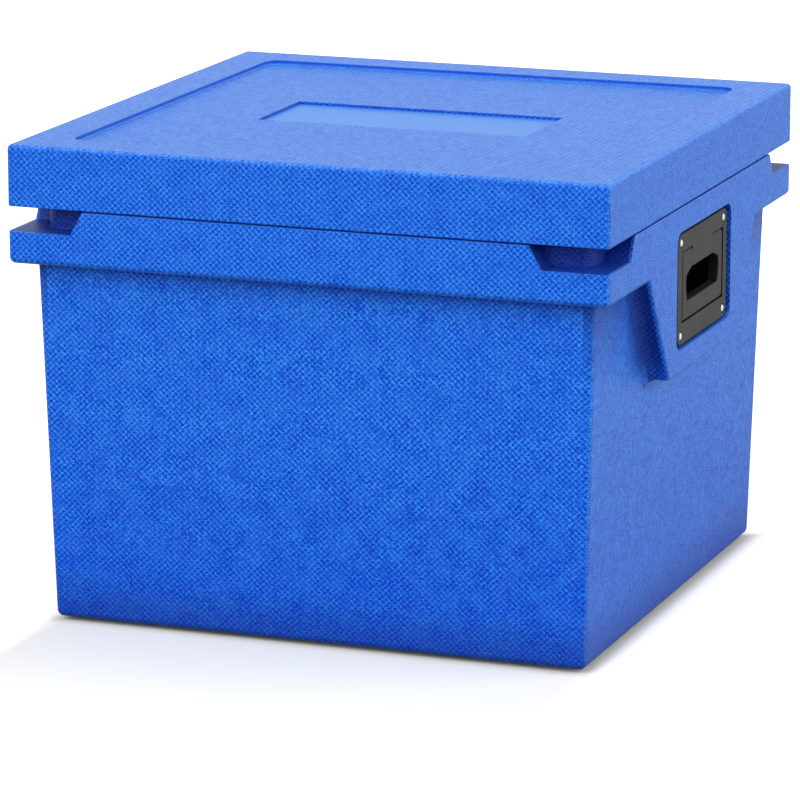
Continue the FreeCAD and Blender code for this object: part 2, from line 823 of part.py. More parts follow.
def make_coolant_packs():
    # Each side pack starts in one corner and butts against the next pack's face
    long_side = f"({pack_long} - SeatGap)"
    offset = "(PackThickness / 2 + SeatGap / 2)"
    reach = f"({liner_inner_half} - SeatGap - PackThickness / 2)"
    sides = (
        ("coolant_pack_front", f"-{offset}", f"-{reach}", 0),
        ("coolant_pack_right", reach, f"-{offset}", 90),
        ("coolant_pack_back", offset, reach, 180),
        ("coolant_pack_left", f"-{reach}", offset, 270),
    )
    caps = []
    for label, x, y, angle in sides:
        pack = make_coolant_pack(label, long_side, pack_height)
        place(pack, x, y, pack_stand, angle=angle)
        cap = make_cap(long_side, pack_height)
        place(cap, x, y, pack_stand, angle=angle)
        caps.append(cap)
    lying = (
        ("coolant_pack_bottom", f"({pack_stand} + PackThickness / 2)"),
        ("coolant_pack_lid", f"({lid_pack_bottom} + PackThickness / 2)"),
    )
    flat_caps = []
    for label, z in lying:
        pack = make_coolant_pack(label, pack_square, pack_square)
        place(pack, y=f"{pack_square} / 2", z=z, axis=(1, 0, 0), angle=90)
        cap = make_cap(pack_square, pack_square)
        place(cap, y=f"{pack_square} / 2", z=z, axis=(1, 0, 0), angle=90)
        flat_caps.append(cap)
    caps.append(flat_caps[0])
    group("pack_caps", caps)
    group("lid_pack_cap", [flat_caps[1]])


# Clips that hold the lid's pack, hooked under its edge and screwed to the lid liner
def make_pack_clips():
    body = new_body("lid_pack_clips")
    sketch = sketch_on(body, "YZ_Plane")
    draw_loop(
        sketch,
        [
            (f"({clip_edge} - ClipHook)", hook_under),
            (f"({clip_edge} + ClipThickness)", hook_under),
            (f"({clip_edge} + ClipThickness)", f"({plug_bottom} - ClipThickness)"),
            (f"({clip_edge} + ClipFoot)", f"({plug_bottom} - ClipThickness)"),
            (f"({clip_edge} + ClipFoot)", plug_bottom),
            (clip_edge, plug_bottom),
            (clip_edge, hook_top),
            (f"({clip_edge} - ClipHook)", hook_top),
        ],
    )
    clip = pad(body, sketch, "ClipWidth", both_ways=True)
    screws = sketch_on(body, "XY_Plane", plug_bottom)
    draw_circle(screws, "0", clip_screw_row, "(RivetShankRadius + PinFit)")
    bore = pocket(body, screws, "ClipThickness")
    turn_round(body, [clip, bore], 4)
    keep(body)

    screws = new_body("clip_screws")
    heads = sketch_on(screws, "XY_Plane", f"({plug_bottom} - ClipThickness)")
    draw_clip_screw_circles(heads, "RivetHeadRadius")
    pad(screws, heads, "RivetHeadHeight", turned=True)
    shanks = sketch_on(screws, "XY_Plane", f"({plug_bottom} - ClipThickness)")
    draw_clip_screw_circles(shanks, "RivetShankRadius")
    pad(screws, shanks, "(ClipThickness + LinerWall)")
    keep(screws)


def draw_clip_screw_circles(sketch, radius):
    for across, up in (
        (clip_screw_row, "0"),
        (f"-{clip_screw_row}", "0"),
        ("0", clip_screw_row),
        ("0", f"-{clip_screw_row}"),
    ):
        draw_circle(sketch, across, up, radius)


def make_payload_box():
    body = new_body("payload_box")
    top = f"({payload_bottom} + {payload_height})"
    square_pad(body, payload_half, payload_bottom, payload_height, "PayloadCornerRadius")
    inner = f"({payload_half} - PayloadWall)"
    inner_radius = "(PayloadCornerRadius - PayloadWall)"
    square_pocket(body, inner, top, f"({payload_height} - PayloadWall)", inner_radius)
    keep(body)


# Handle plate: one moulding with the window that the bail fills, the cup behind it
# for the fingers, and the lug behind its tongue that the pin runs through
def make_handle_plate(side, angle):
    body = new_body(f"{side}_handle_plate")
    outside = sketch_on(body, "YZ_Plane", f"({cup_back} - CupWall)")
    draw_cup(outside, "CupWall")
    pad(body, outside, f"({plate_back} - {cup_back} + CupWall)")
    plate = sketch_on(body, "YZ_Plane", plate_back)
    draw_rounded(
        plate,
        "-PlateWidth / 2",
        "PlateWidth / 2",
        f"({handle_level} - PlateHeight / 2)",
        f"({handle_level} + PlateHeight / 2)",
        "PlateCornerRadius",
    )
    pad(body, plate, "PlateThickness")
    front = value(plate_face)
    round_edges(body, "PlateEdgeRadius", lambda middle, along: near(middle.x, front))
    lug_back = f"({plate_face} - BailThickness)"
    window = sketch_on(body, "YZ_Plane", plate_face)
    draw_notched(window, window_half, window_bottom, window_top)
    pocket(body, window, "PlateThickness")
    arms = sketch_on(body, "YZ_Plane", plate_back)
    draw_notched(arms, cup_half, cup_bottom, cup_top)
    pocket(body, arms, "(BailThickness - PlateThickness)")
    above_ribs = "(CupDepth - BailThickness - CupRibHeight)"
    inside = sketch_on(body, "YZ_Plane", lug_back)
    draw_cup(inside, "0")
    pocket(body, inside, above_ribs)
    deep = sketch_on(body, "YZ_Plane", f"({cup_back} + CupRibHeight)")
    draw_cup(deep, "0")
    for middle in ("-CupRibHalfSpace", "CupRibHalfSpace"):
        draw_rectangle(
            deep,
            f"({middle} - CupRibWidth / 2)",
            f"({middle} + CupRibWidth / 2)",
            f"({cup_bottom} + CupMargin)",
            f"({cup_top} - CupMargin)",
        )
    pocket(body, deep, "CupRibHeight")
    bore = sketch_on(body, "XZ_Plane")
    draw_circle(bore, pin_depth, pin_level, "(PinRadius + PinFit)")
    pocket(body, bore, f"(2 * {cup_half} + 4 * CupWall)", both_ways=True)
    seats = sketch_on(body, "YZ_Plane", plate_face)
    draw_rivet_circles(seats, "RivetSeatRadius")
    pocket(body, seats, "RivetSeatDepth")
    holes = sketch_on(body, "YZ_Plane", plate_face)
    draw_rivet_circles(holes, "(RivetShankRadius + PinFit)")
    pocket(body, holes, "PlateThickness")
    place(body, angle=angle)
    return keep(body)


def draw_notched(sketch, half, low, high):
    # A window with the tongue left standing in the middle of its top edge
    draw_loop(
        sketch,
        [
            (f"-{half}", low),
            (half, low),
            (half, high),
            ("TongueHalf", high),
            ("TongueHalf", tongue_end),
            ("-TongueHalf", tongue_end),
            ("-TongueHalf", high),
            (f"-{half}", high),
        ],
    )


# Bail: a U-shaped grip, flush with the plate, with a round barrel on each arm
def make_bail(side, angle):
    body = new_body(f"{side}_bail")
    outline = sketch_on(body, "YZ_Plane", plate_face)
    arm_inner = "(TongueHalf + TongueGap)"
    wing_under = f"({handle_level} + HoleTop)"
    wing_end = f"({handle_level} + HoleTop - HoleWingDrop)"
    shoulder = f"({handle_level} + HoleShoulder)"
    hole_bottom = f"({handle_level} - HoleBottom)"
    top = f"({handle_level} + BailTop)"
    bottom = f"({handle_level} - BailBottom)"
    right_half = [
        ("BailWidth / 2", bottom),
        ("BailWidth / 2", top),
        (arm_inner, top),
        (arm_inner, wing_under),
        ("HoleHalfTop", wing_end),
        ("HoleHalfTop", shoulder),
        ("HoleHalfBottom", hole_bottom),
    ]
    left_half = [(f"-{across}", up) for across, up in reversed(right_half)]
    draw_loop(outline, right_half + left_half)
    pad(body, outline, "BailThickness", turned=True)
    along_x = [
        ("BailCornerRadius", "BailWidth / 2", bottom),
        ("HoleTopRadius", "HoleHalfTop", wing_end),
        ("HoleBottomRadius", "HoleHalfBottom", hole_bottom),
    ]
    for radius, across, up in along_x:
        spot_y = value(across)
        spot_z = value(up)
        round_edges(
            body,
            radius,
            lambda middle, along: abs(along.x) > lined_up
            and near(abs(middle.y), spot_y)
            and near(middle.z, spot_z),
        )
    front_face = value(plate_face)
    hole_half = value("HoleHalfTop")
    hole_low = value(hole_bottom)
    hole_top = value(wing_under)
    round_edges(
        body,
        "HoleEdgeRadius",
        lambda middle, along: near(middle.x, front_face)
        and abs(middle.y) < hole_half + same_place
        and hole_low - same_place < middle.z < hole_top + same_place,
    )
    back_face = value(f"{plate_face} - BailThickness")
    round_edges(
        body,
        "GripRadius",
        lambda middle, along: near(middle.x, back_face)
        and near(middle.y, 0)
        and near(middle.z, value(bottom)),
    )
    top_level = value(top)
    round_edges(
        body,
        "BarrelBackRadius",
        lambda middle, along: near(middle.z, top_level) and near(middle.x, back_face),
    )
    round_edges(
        body,
        "BarrelFrontRadius",
        lambda middle, along: near(middle.z, top_level) and near(middle.x, front_face),
    )
    bore = sketch_on(body, "XZ_Plane")
    draw_circle(bore, pin_depth, pin_level, "(PinRadius + PinFit)")
    pocket(body, bore, "(2 * BailWidth)", both_ways=True)
    place(body, angle=angle)
    return keep(body)


def make_pin_and_rivets(side, angle):
    pin = new_body(f"{side}_hinge_pin")
    rod = sketch_on(pin, "XZ_Plane")
    draw_circle(rod, pin_depth, pin_level, "PinRadius")
    pad(pin, rod, f"(2 * {cup_half} + 2 * CupWall)", both_ways=True)
    place(pin, angle=angle)
    keep(pin)

    rivets = new_body(f"{side}_plate_rivets")
    seat = f"({plate_face} - RivetSeatDepth)"
    heads = sketch_on(rivets, "YZ_Plane", seat)
    draw_rivet_circles(heads, "RivetHeadRadius")
    pad(rivets, heads, "RivetHeadHeight")
    crown = value(f"{seat} + RivetHeadHeight")
    round_edges(
        rivets, "(RivetHeadHeight / 2)", lambda middle, along: near(middle.x, crown)
    )
    shanks = sketch_on(rivets, "YZ_Plane", seat)
    draw_rivet_circles(shanks, "RivetShankRadius")
    pad(rivets, shanks, "RivetLength", turned=True)
    place(rivets, angle=angle)
    keep(rivets)


make_base_shell()
make_lid_shell()
make_vacuum_panels()
make_inner_liner()
make_lid_liner()
make_coolant_packs()
make_pack_clips()
make_payload_box()
for side, angle in (("right", 0), ("left", 180)):
    make_handle_plate(side, angle)
    make_bail(side, angle)
    make_pin_and_rivets(side, angle)
doc.recompute()

for item in doc.Objects:
    if "Invalid" in item.State or "Error" in item.State:
        raise RuntimeError(f"{item.Label} failed: {item.State}")
for piece in parts:
    if piece.Shape.isNull() or not piece.Shape.isValid():
        raise RuntimeError(f"{piece.Label} has no valid shape")

os.makedirs("parts", exist_ok=True)
for piece in parts:
    piece.Shape.exportStep(f"parts/{piece.Label}.step")
    print(piece.Label, len(piece.Shape.Solids), round(piece.Shape.Volume / 1000, 1), "cm3")
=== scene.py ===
import math

import bmesh
import bpy
from mathutils import Matrix, Vector


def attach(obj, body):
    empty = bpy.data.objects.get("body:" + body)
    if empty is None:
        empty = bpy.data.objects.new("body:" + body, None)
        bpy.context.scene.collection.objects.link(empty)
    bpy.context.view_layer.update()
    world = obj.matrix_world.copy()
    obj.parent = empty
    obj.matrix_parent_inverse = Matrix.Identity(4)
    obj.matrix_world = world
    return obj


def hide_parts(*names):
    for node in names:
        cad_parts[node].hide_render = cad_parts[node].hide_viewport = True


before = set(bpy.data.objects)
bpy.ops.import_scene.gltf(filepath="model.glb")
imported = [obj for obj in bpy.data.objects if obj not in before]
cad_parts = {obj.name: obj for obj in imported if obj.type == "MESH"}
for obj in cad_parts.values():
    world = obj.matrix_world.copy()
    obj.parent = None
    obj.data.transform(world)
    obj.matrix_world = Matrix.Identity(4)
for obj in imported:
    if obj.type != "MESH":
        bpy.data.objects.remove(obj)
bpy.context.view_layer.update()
print("frame loaded")


# Node helpers, for shader trees and geometry trees alike

def plug(tree, socket, given):
    if isinstance(given, bpy.types.NodeSocket):
        tree.links.new(given, socket)
    else:
        socket.default_value = given


def addNode(tree, kind, inputs=None, **settings):
    node = tree.nodes.new(kind)
    for name, setting in settings.items():
        setattr(node, name, setting)
    for socket, given in (inputs or {}).items():
        plug(tree, node.inputs[socket], given)
    return node


def calc(tree, operation, *given, clamp=False):
    inputs = dict(enumerate(given))
    return addNode(tree, "ShaderNodeMath", inputs, operation=operation, use_clamp=clamp).outputs[0]


def split(tree, vector):
    return addNode(tree, "ShaderNodeSeparateXYZ", {0: vector}).outputs


def join(tree, x=0.0, y=0.0, z=0.0):
    return addNode(tree, "ShaderNodeCombineXYZ", {0: x, 1: y, 2: z}).outputs[0]


def between(tree, given, low, high, newLow=0.0, newHigh=1.0):
    inputs = {"Value": given, "From Min": low, "From Max": high, "To Min": newLow, "To Max": newHigh}
    return addNode(tree, "ShaderNodeMapRange", inputs, interpolation_type="SMOOTHSTEP").outputs[0]


def blendColor(tree, factor, first, second):
    node = addNode(tree, "ShaderNodeMix", data_type="RGBA")
    plug(tree, node.inputs[0], factor)
    plug(tree, node.inputs[6], first)
    plug(tree, node.inputs[7], second)
    return node.outputs[2]


def noise(tree, vector, scale, detail=2.0, roughness=0.5):
    inputs = {"Vector": vector, "Scale": scale, "Detail": detail, "Roughness": roughness}
    return addNode(tree, "ShaderNodeTexNoise", inputs).outputs


def startGroup(name, kind, inputs, outputs):
    group = bpy.data.node_groups.new(name, kind)
    for label, (socketKind, default) in inputs.items():
        socket = group.interface.new_socket(label, in_out="INPUT", socket_type=socketKind)
        if default is not None:
            socket.default_value = default
    for label, socketKind in outputs.items():
        group.interface.new_socket(label, in_out="OUTPUT", socket_type=socketKind)
    source = group.nodes.new("NodeGroupInput")
    sink = group.nodes.new("NodeGroupOutput")
    return group, source.outputs, sink.inputs


def useGroup(tree, group, inputs):
    node = tree.nodes.new(tree.bl_idname.replace("Tree", "Group"))
    node.node_tree = group
    for socket, given in inputs.items():
        plug(tree, node.inputs[socket], given)
    return node.outputs


def startMaterial(name):
    material = bpy.data.materials.new(name)
    material.use_nodes = True
    tree = material.node_tree
    shader = tree.nodes["Principled BSDF"]
    place = tree.nodes.new("ShaderNodeTexCoord").outputs
    return material, tree, shader.inputs, place


def bumpInto(tree, shader, height):
    bump = addNode(tree, "ShaderNodeBump", {"Height": height, "Strength": 1.0, "Distance": 1.0})
    tree.links.new(bump.outputs[0], shader["Normal"])


# Camera, light and floor

studio = {
    "cameraPlace": (1.60187, -4.33613, 1.27234),
    "cameraDip": 0.23155,  # radians below level
    "cameraTurn": 0.3566924,
    "lens": 214.75,
    "skyLight": 0.27,  # what the white room gives to matt surfaces
    "lamps": {  # where the light comes from, its strength and its spread
        "frontLamp": ((-0.30, -0.72, 0.50), 2.70, 1.0),
        "rightLamp": ((0.92, 0.06, 0.38), 2.52, 1.2),
    },
    "floorSize": 40.0,
    "floorShade": (0.13, 0.13, 0.14, 1),
    "floorSeen": (0.83, 0.83, 0.78, 1),
    "floorMirrored": 0.55,  # share of that look which reflections show
    "floorGlow": (0.12, 0.62),  # beside the box, and away from it
    "glowEdge": 0.26,  # half the square that the first of these starts from
    "glowFade": 0.76,  # how far in front of it the second is reached
    "glowHaste": 20.0,  # how much sooner at the other sides
    "contact": (0.266, 0.282),  # between these the dark line under the box's edge gives way
}


def seenDirectly(tree, mirrored=1.0):
    paths = tree.nodes.new("ShaderNodeLightPath").outputs
    glossy = calc(tree, "MULTIPLY", paths["Is Glossy Ray"], mirrored)
    seen = calc(tree, "MAXIMUM", paths["Is Camera Ray"], glossy)
    return calc(tree, "MAXIMUM", seen, paths["Is Transmission Ray"])


def makeStudio():
    scene = bpy.context.scene
    scene.view_settings.view_transform = "Standard"
    camera = bpy.data.objects.new("camera", bpy.data.cameras.new("camera"))
    camera.data.lens = studio["lens"]
    camera.location = studio["cameraPlace"]
    camera.rotation_euler = (math.pi / 2 - studio["cameraDip"], 0, studio["cameraTurn"])
    scene.collection.objects.link(camera)
    scene.camera = camera

    world = bpy.data.worlds.new("whiteRoom")
    world.use_nodes = True
    tree = world.node_tree
    strength = between(tree, seenDirectly(tree), 0.0, 1.0, studio["skyLight"], 1.0)
    plug(tree, tree.nodes["Background"].inputs["Color"], (1, 1, 1, 1))
    plug(tree, tree.nodes["Background"].inputs["Strength"], strength)
    scene.world = world

    for name, (source, energy, spread) in studio["lamps"].items():
        lamp = bpy.data.objects.new(name, bpy.data.lights.new(name, "SUN"))
        lamp.data.energy = energy
        lamp.data.angle = spread
        lamp.rotation_euler = Vector(source).to_track_quat("Z", "Y").to_euler()
        scene.collection.objects.link(lamp)

    half = studio["floorSize"] / 2
    mesh = bpy.data.meshes.new("floor")
    corners = [(-half, -half, 0), (half, -half, 0), (half, half, 0), (-half, half, 0)]
    mesh.from_pydata(corners, [], [(0, 1, 2, 3)])
    floor = bpy.data.objects.new("floor", mesh)
    scene.collection.objects.link(floor)
    material, tree, shader, place = startMaterial("paleFloor")
    tree.nodes.remove(tree.nodes["Principled BSDF"])
    seen = seenDirectly(tree, studio["floorMirrored"])
    color = blendColor(tree, seen, studio["floorShade"], studio["floorSeen"])
    matt = addNode(tree, "ShaderNodeBsdfDiffuse", {"Color": color})
    # Painted light: the floor glows more the farther it lies from the box and not under its edge, so only a
    # narrow shadow stays beside the box
    x, y = split(tree, place["Object"])[:2]
    outward = calc(tree, "ABSOLUTE", x)
    aside = calc(tree, "SUBTRACT", calc(tree, "MAXIMUM", outward, y), studio["glowEdge"])
    before = calc(tree, "SUBTRACT", calc(tree, "MULTIPLY", y, -1.0), studio["glowEdge"])
    away = calc(tree, "MAXIMUM", calc(tree, "MULTIPLY", aside, studio["glowHaste"]), before)
    growing = between(tree, away, 0.0, studio["glowFade"], *studio["floorGlow"])
    reach = calc(tree, "MAXIMUM", outward, calc(tree, "ABSOLUTE", y))
    strength = calc(tree, "MULTIPLY", seen, growing)
    strength = calc(tree, "MULTIPLY", strength, between(tree, reach, *studio["contact"]))
    glow = addNode(tree, "ShaderNodeEmission", {"Strength": strength})
    both = addNode(tree, "ShaderNodeAddShader", {0: matt.outputs[0], 1: glow.outputs[0]})
    tree.links.new(both.outputs[0], tree.nodes["Material Output"].inputs["Surface"])
    floor.data.materials.append(material)


makeStudio()
print("studio ready")


# Shader groups that several finishes share

vectorKind, numberKind = "NodeSocketVector", "NodeSocketFloat"
noiseSpan = (0.3, 0.7)  # a noise seldom goes beyond these


def shift(tree, vector, step):
    return addNode(tree, "ShaderNodeVectorMath", {0: vector, 1: step}).outputs[0]


def stretch(tree, vector, factors):
    return addNode(tree, "ShaderNodeVectorMath", {0: vector, 1: factors}, operation="MULTIPLY").outputs[0]


def drift(tree, vector, scale, reach):
    # Moves a pattern about, so that no row of it runs dead straight
    wave = noise(tree, vector, scale)[1]
    inputs = {0: wave, 1: (0.5, 0.5, 0.5)}
    centred = addNode(tree, "ShaderNodeVectorMath", inputs, operation="SUBTRACT").outputs[0]
    inputs = {0: centred, "Scale": reach}
    pushed = addNode(tree, "ShaderNodeVectorMath", inputs, operation="SCALE").outputs[0]
    return shift(tree, vector, pushed)


weaving = {
    "thread": 0.0031,  # from one thread to the next
    "squeeze": 1.05,  # how much closer together they lie upwards
    "wander": 0.0020,
    "wanderScale": 30.0,
    "jitter": 0.0008,
    "jitterScale": 170.0,
    "cross": 0.85,
    "ribs": 0.07,
    "rows": 0.09,
    "grit": 3.4,
    "mottle": 1.1,
    "gritScale": 640.0,
    "mottleScale": 170.0,
    "cloudScale": 42.0,
    "tintScale": 60.0,
    "shareScale": 130.0,
    "shareFrom": (0.35, 0.65),
    "shareRange": (0.28, 0.62),  # how much one or the other thread shows from place to place
    "knotShare": 0.3,
    "facingEnd": 0.7,  # from this slope on a face counts as an end, or as the top
    "facingUp": 0.6,
    "crossLoss": -0.65,  # on the ends and the top
    "mottleGain": 2.0,
    "ribGain": 3.6,  # on the top
    "rowGain": 2.0,  # on the ends
}


def makeWovenSkin():
    # Crossed threads, as a mould's woven liner leaves them, laid flat on each face
    group, given, out = startGroup(
        "wovenSkin",
        "ShaderNodeTree",
        {
            "Position": (vectorKind, None),
            "Facing": (vectorKind, None),
            "Thread": (numberKind, weaving["thread"]),
            "Wander": (numberKind, weaving["wander"]),
            "Cross": (numberKind, weaving["cross"]),
            "Ribs": (numberKind, weaving["ribs"]),
            "Rows": (numberKind, weaving["rows"]),
            "Grit": (numberKind, weaving["grit"]),
            "Mottle": (numberKind, weaving["mottle"]),
        },
        {"Weave": numberKind, "Cloud": numberKind, "Tint": numberKind},
    )
    place = given["Position"]
    wandering = drift(group, place, weaving["wanderScale"], given["Wander"])
    x, y, z = split(group, drift(group, wandering, weaving["jitterScale"], weaving["jitter"]))
    facing = split(group, given["Facing"])
    onSide = calc(group, "GREATER_THAN", calc(group, "ABSOLUTE", facing[0]), weaving["facingEnd"])
    onTop = calc(group, "GREATER_THAN", calc(group, "ABSOLUTE", facing[2]), weaving["facingUp"])
    across = calc(group, "MULTIPLY_ADD", onSide, calc(group, "SUBTRACT", y, x), x)
    upward = calc(group, "MULTIPLY_ADD", onTop, calc(group, "SUBTRACT", y, z), z)
    upward = calc(group, "MULTIPLY", upward, weaving["squeeze"])
    turn = calc(group, "DIVIDE", math.pi, given["Thread"])
    rising = calc(group, "MULTIPLY", calc(group, "SUBTRACT", across, upward), turn)
    falling = calc(group, "MULTIPLY", calc(group, "ADD", across, upward), turn)
    rising, falling = calc(group, "COSINE", rising), calc(group, "COSINE", falling)
    moved = shift(group, place, (3.1, 1.7, 5.3))
    span = (*weaving["shareFrom"], *weaving["shareRange"])
    patches = [noise(group, where, weaving["shareScale"], 3.0)[0] for where in (place, moved)]
    risingShare, fallingShare = [between(group, patch, *span) for patch in patches]
    crossed = calc(group, "SUBTRACT", calc(group, "MULTIPLY", rising, risingShare),
                   calc(group, "MULTIPLY", falling, fallingShare))
    # The crossed threads show on the long sides, but mostly rows on the ends and ribs on top
    elsewhere = calc(group, "ADD", onSide, onTop)
    plain = calc(group, "MULTIPLY_ADD", elsewhere, weaving["crossLoss"], 1.0)
    ribs = calc(group, "COSINE", calc(group, "MULTIPLY", across, turn))
    rows = calc(group, "COSINE", calc(group, "MULTIPLY", calc(group, "MULTIPLY", upward, turn), 2.0))
    knots = calc(group, "COSINE", calc(group, "MULTIPLY", calc(group, "MULTIPLY", across, turn), 2.0))
    ribGain = calc(group, "MULTIPLY_ADD", onTop, weaving["ribGain"], 1.0)
    rowGain = calc(group, "MULTIPLY_ADD", onSide, weaving["rowGain"], 1.0)
    ribShare = calc(group, "MULTIPLY", given["Ribs"], ribGain)
    rowShare = calc(group, "MULTIPLY", given["Rows"], rowGain)
    weave = calc(group, "MULTIPLY", calc(group, "MULTIPLY", crossed, plain), given["Cross"])
    weave = calc(group, "MULTIPLY_ADD", ribs, ribShare, weave)
    weave = calc(group, "MULTIPLY_ADD", rows, rowShare, weave)
    knotShare = calc(group, "MULTIPLY", given["Rows"], weaving["knotShare"])
    weave = calc(group, "MULTIPLY_ADD", knots, knotShare, weave)
    # Away from the long sides the skin is more mottled than woven
    mottle = calc(group, "SUBTRACT", noise(group, moved, weaving["mottleScale"], 4.0, 0.75)[0], 0.5)
    mottleShare = calc(group, "MULTIPLY_ADD", elsewhere, weaving["mottleGain"], 1.0)
    mottle = calc(group, "MULTIPLY", mottle, calc(group, "MULTIPLY", mottleShare, given["Mottle"]))
    weave = calc(group, "ADD", weave, mottle)
    grit = calc(group, "SUBTRACT", noise(group, place, weaving["gritScale"], 1.0, 0.7)[0], 0.5)
    weave = calc(group, "MULTIPLY_ADD", grit, given["Grit"], weave)
    plug(group, out["Weave"], weave)
    cloud = noise(group, moved, weaving["cloudScale"], 4.0, 0.65)[0]
    plug(group, out["Cloud"], calc(group, "SUBTRACT", cloud, 0.5))
    tint = noise(group, shift(group, place, (7.7, 2.9, 0.4)), weaving["tintScale"], 3.0, 0.6)[0]
    plug(group, out["Tint"], tint)
    return group


beading = {"beads": 260.0, "randomness": 0.9, "seam": 0.16}


def makeBeadSkin():
    # Fused beads, as on a foam face that was moulded against smooth metal
    group, given, out = startGroup(
        "beadSkin",
        "ShaderNodeTree",
        {"Position": (vectorKind, None), "Beads": (numberKind, beading["beads"])},
        {"Seam": numberKind, "Tone": numberKind},
    )
    cell = {"Vector": given["Position"], "Scale": given["Beads"], "Randomness": beading["randomness"]}
    edges = addNode(group, "ShaderNodeTexVoronoi", cell, feature="DISTANCE_TO_EDGE").outputs["Distance"]
    tones = addNode(group, "ShaderNodeTexVoronoi", cell).outputs["Color"]
    plug(group, out["Seam"], between(group, edges, 0.0, beading["seam"], 1.0, 0.0))
    plug(group, out["Tone"], split(group, tones)[0])
    return group


moulding = {
    "grain": 900.0,
    "relief": 0.00005,
    "scuffTurn": 0.6,
    "scuffStretch": (1.0, 0.06, 1.0),
    "scuffScale": 1500.0,
    "scuffFrom": (0.66, 0.74),
    "patchScale": 45.0,
    "patchFrom": (0.5, 0.7),  # scuffs only show in patches
    "cloudScale": 30.0,
}


def makeMouldedGrain():
    # Fine spark-eroded grain of moulded plastic, with faint clouding and hairline scuffs
    group, given, out = startGroup(
        "mouldedGrain",
        "ShaderNodeTree",
        {
            "Position": (vectorKind, None),
            "Grain": (numberKind, moulding["grain"]),
            "Relief": (numberKind, moulding["relief"]),
        },
        {"Speckle": numberKind, "Cloud": numberKind, "Scuff": numberKind, "Height": numberKind},
    )
    place = given["Position"]
    fine = noise(group, place, given["Grain"], 3.0, 0.6)[0]
    inputs = {"Vector": place, "Angle": moulding["scuffTurn"]}
    turned = addNode(group, "ShaderNodeVectorRotate", inputs, rotation_type="X_AXIS").outputs[0]
    drawn = stretch(group, turned, moulding["scuffStretch"])
    hair = between(group, noise(group, drawn, moulding["scuffScale"], 1.0)[0], *moulding["scuffFrom"])
    patch = between(group, noise(group, place, moulding["patchScale"])[0], *moulding["patchFrom"])
    plug(group, out["Speckle"], fine)
    plug(group, out["Cloud"], noise(group, place, moulding["cloudScale"], 3.0, 0.6)[0])
    plug(group, out["Scuff"], calc(group, "MULTIPLY", hair, patch))
    plug(group, out["Height"], calc(group, "MULTIPLY", fine, given["Relief"]))
    return group


brushing = {"lines": 2600.0, "relief": 0.00001, "stretch": (0.04, 0.04, 1.0)}


def makeBrushedLines():
    # Fine lines that a grinding belt leaves
    group, given, out = startGroup(
        "brushedLines",
        "ShaderNodeTree",
        {
            "Position": (vectorKind, None),
            "Lines": (numberKind, brushing["lines"]),
            "Relief": (numberKind, brushing["relief"]),
        },
        {"Line": numberKind, "Height": numberKind},
    )
    line = noise(group, stretch(group, given["Position"], brushing["stretch"]), given["Lines"])[0]
    plug(group, out["Line"], line)
    plug(group, out["Height"], calc(group, "MULTIPLY", line, given["Relief"]))
    return group


wovenSkin = makeWovenSkin()
beadSkin = makeBeadSkin()
mouldedGrain = makeMouldedGrain()
brushedLines = makeBrushedLines()
print("shader groups ready")


# Foam of the base and the lid

foam = {
    "dark": (0.0, 0.038, 0.56, 1),
    "light": (0.010, 0.225, 0.94, 1),
    "tinted": (0.034, 0.210, 0.86, 1),
    "spark": (0.038, 0.300, 0.96, 1),  # painted highlight on the tops of the threads
    "sparkFrom": 0.70,
    "tintShare": 0.25,
    "tintRange": (0.4, 0.7),
    "middle": 0.50,
    "contrast": 0.70,
    "clouding": 0.6,
    "relief": 0.00026,
    "roughness": 0.37,
    "ior": 1.25,
    "fieldX": 0.139,  # the smooth sunk field of the lid
    "fieldFront": -0.064,
    "fieldBack": 0.048,
    "fieldLow": 0.4640,
    "fieldHigh": 0.4655,
    "fieldCalm": 0.22,
    "wallReach": 0.2553,  # the low wall round the lid's recess
    "wallLow": 0.4679,
    "wallCalm": 0.35,
    "fieldRoughness": 0.34,
    "pale": (0.105, 0.330, 0.790, 1),  # on faces that the room's light glances off
    "paleTop": 0.40,
    "paleEnds": 0.22,
    "paleWeave": 0.7,  # how much the threads change it
    "fieldPale": (0.080, 0.420, 0.880, 1),
    "fieldShare": 0.22,
    "footTone": -0.20,  # painted shade, darker towards the foot
    "footBottom": 0.02,
    "footTop": 0.25,
    "shade": (0.004, 0.022, 0.26, 1),  # where little light gets in
    "footShade": 0.60,
    "footRise": 0.065,
    "notchEdge": 0.2998,  # outer side of the finger notches
    "notchDeep": 0.2955,
    "notchLow": 0.3880,
    "notchHigh": 0.4118,
    "notchShade": 0.89,
    "wallShade": 0.55,
    "cheekShade": 0.62,  # sloping sides of the handle's boss
    "cheekFrom": 0.2803,
    "cheekTo": 0.2945,
    "cheekFacing": 0.5,
    "cheekLow": 0.2400,
    "cheekHigh": 0.3572,
    "leeFrom": 0.2690,  # the end wall between the boss and the corner
    "leeTo": 0.2960,
    "leeShade": 0.72,
    "leeWidth": 0.060,
    "leeBottom": (0.2500, 0.2750),
    "bossFoot": -0.0412,  # where the boss's slanting edge would meet the floor, and its slope
    "bossSlope": 0.605,
    "eavesShade": 0.56,
    "eavesBottom": 0.2800,
    "seamLow": 0.4113,  # the thin gap under the lid
    "seamHigh": 0.4128,
    "seamReach": 0.2975,
    "seamShade": 0.9,
    "innerReach": 0.2402,  # inside these the foam shows its beads
    "innerTop": 0.4125,
    "beadRelief": 0.00012,
    "beadMiddle": 0.4,
    "beadSpread": 0.25,
    "beadSeam": -0.3,
}


def within(tree, given, low, high):
    above = calc(tree, "GREATER_THAN", given, low)
    return calc(tree, "MULTIPLY", above, calc(tree, "LESS_THAN", given, high))


def chain(tree, operation, *given):
    # One product or one maximum of several values
    total = given[0]
    for value in given[1:]:
        total = calc(tree, operation, total, value)
    return total


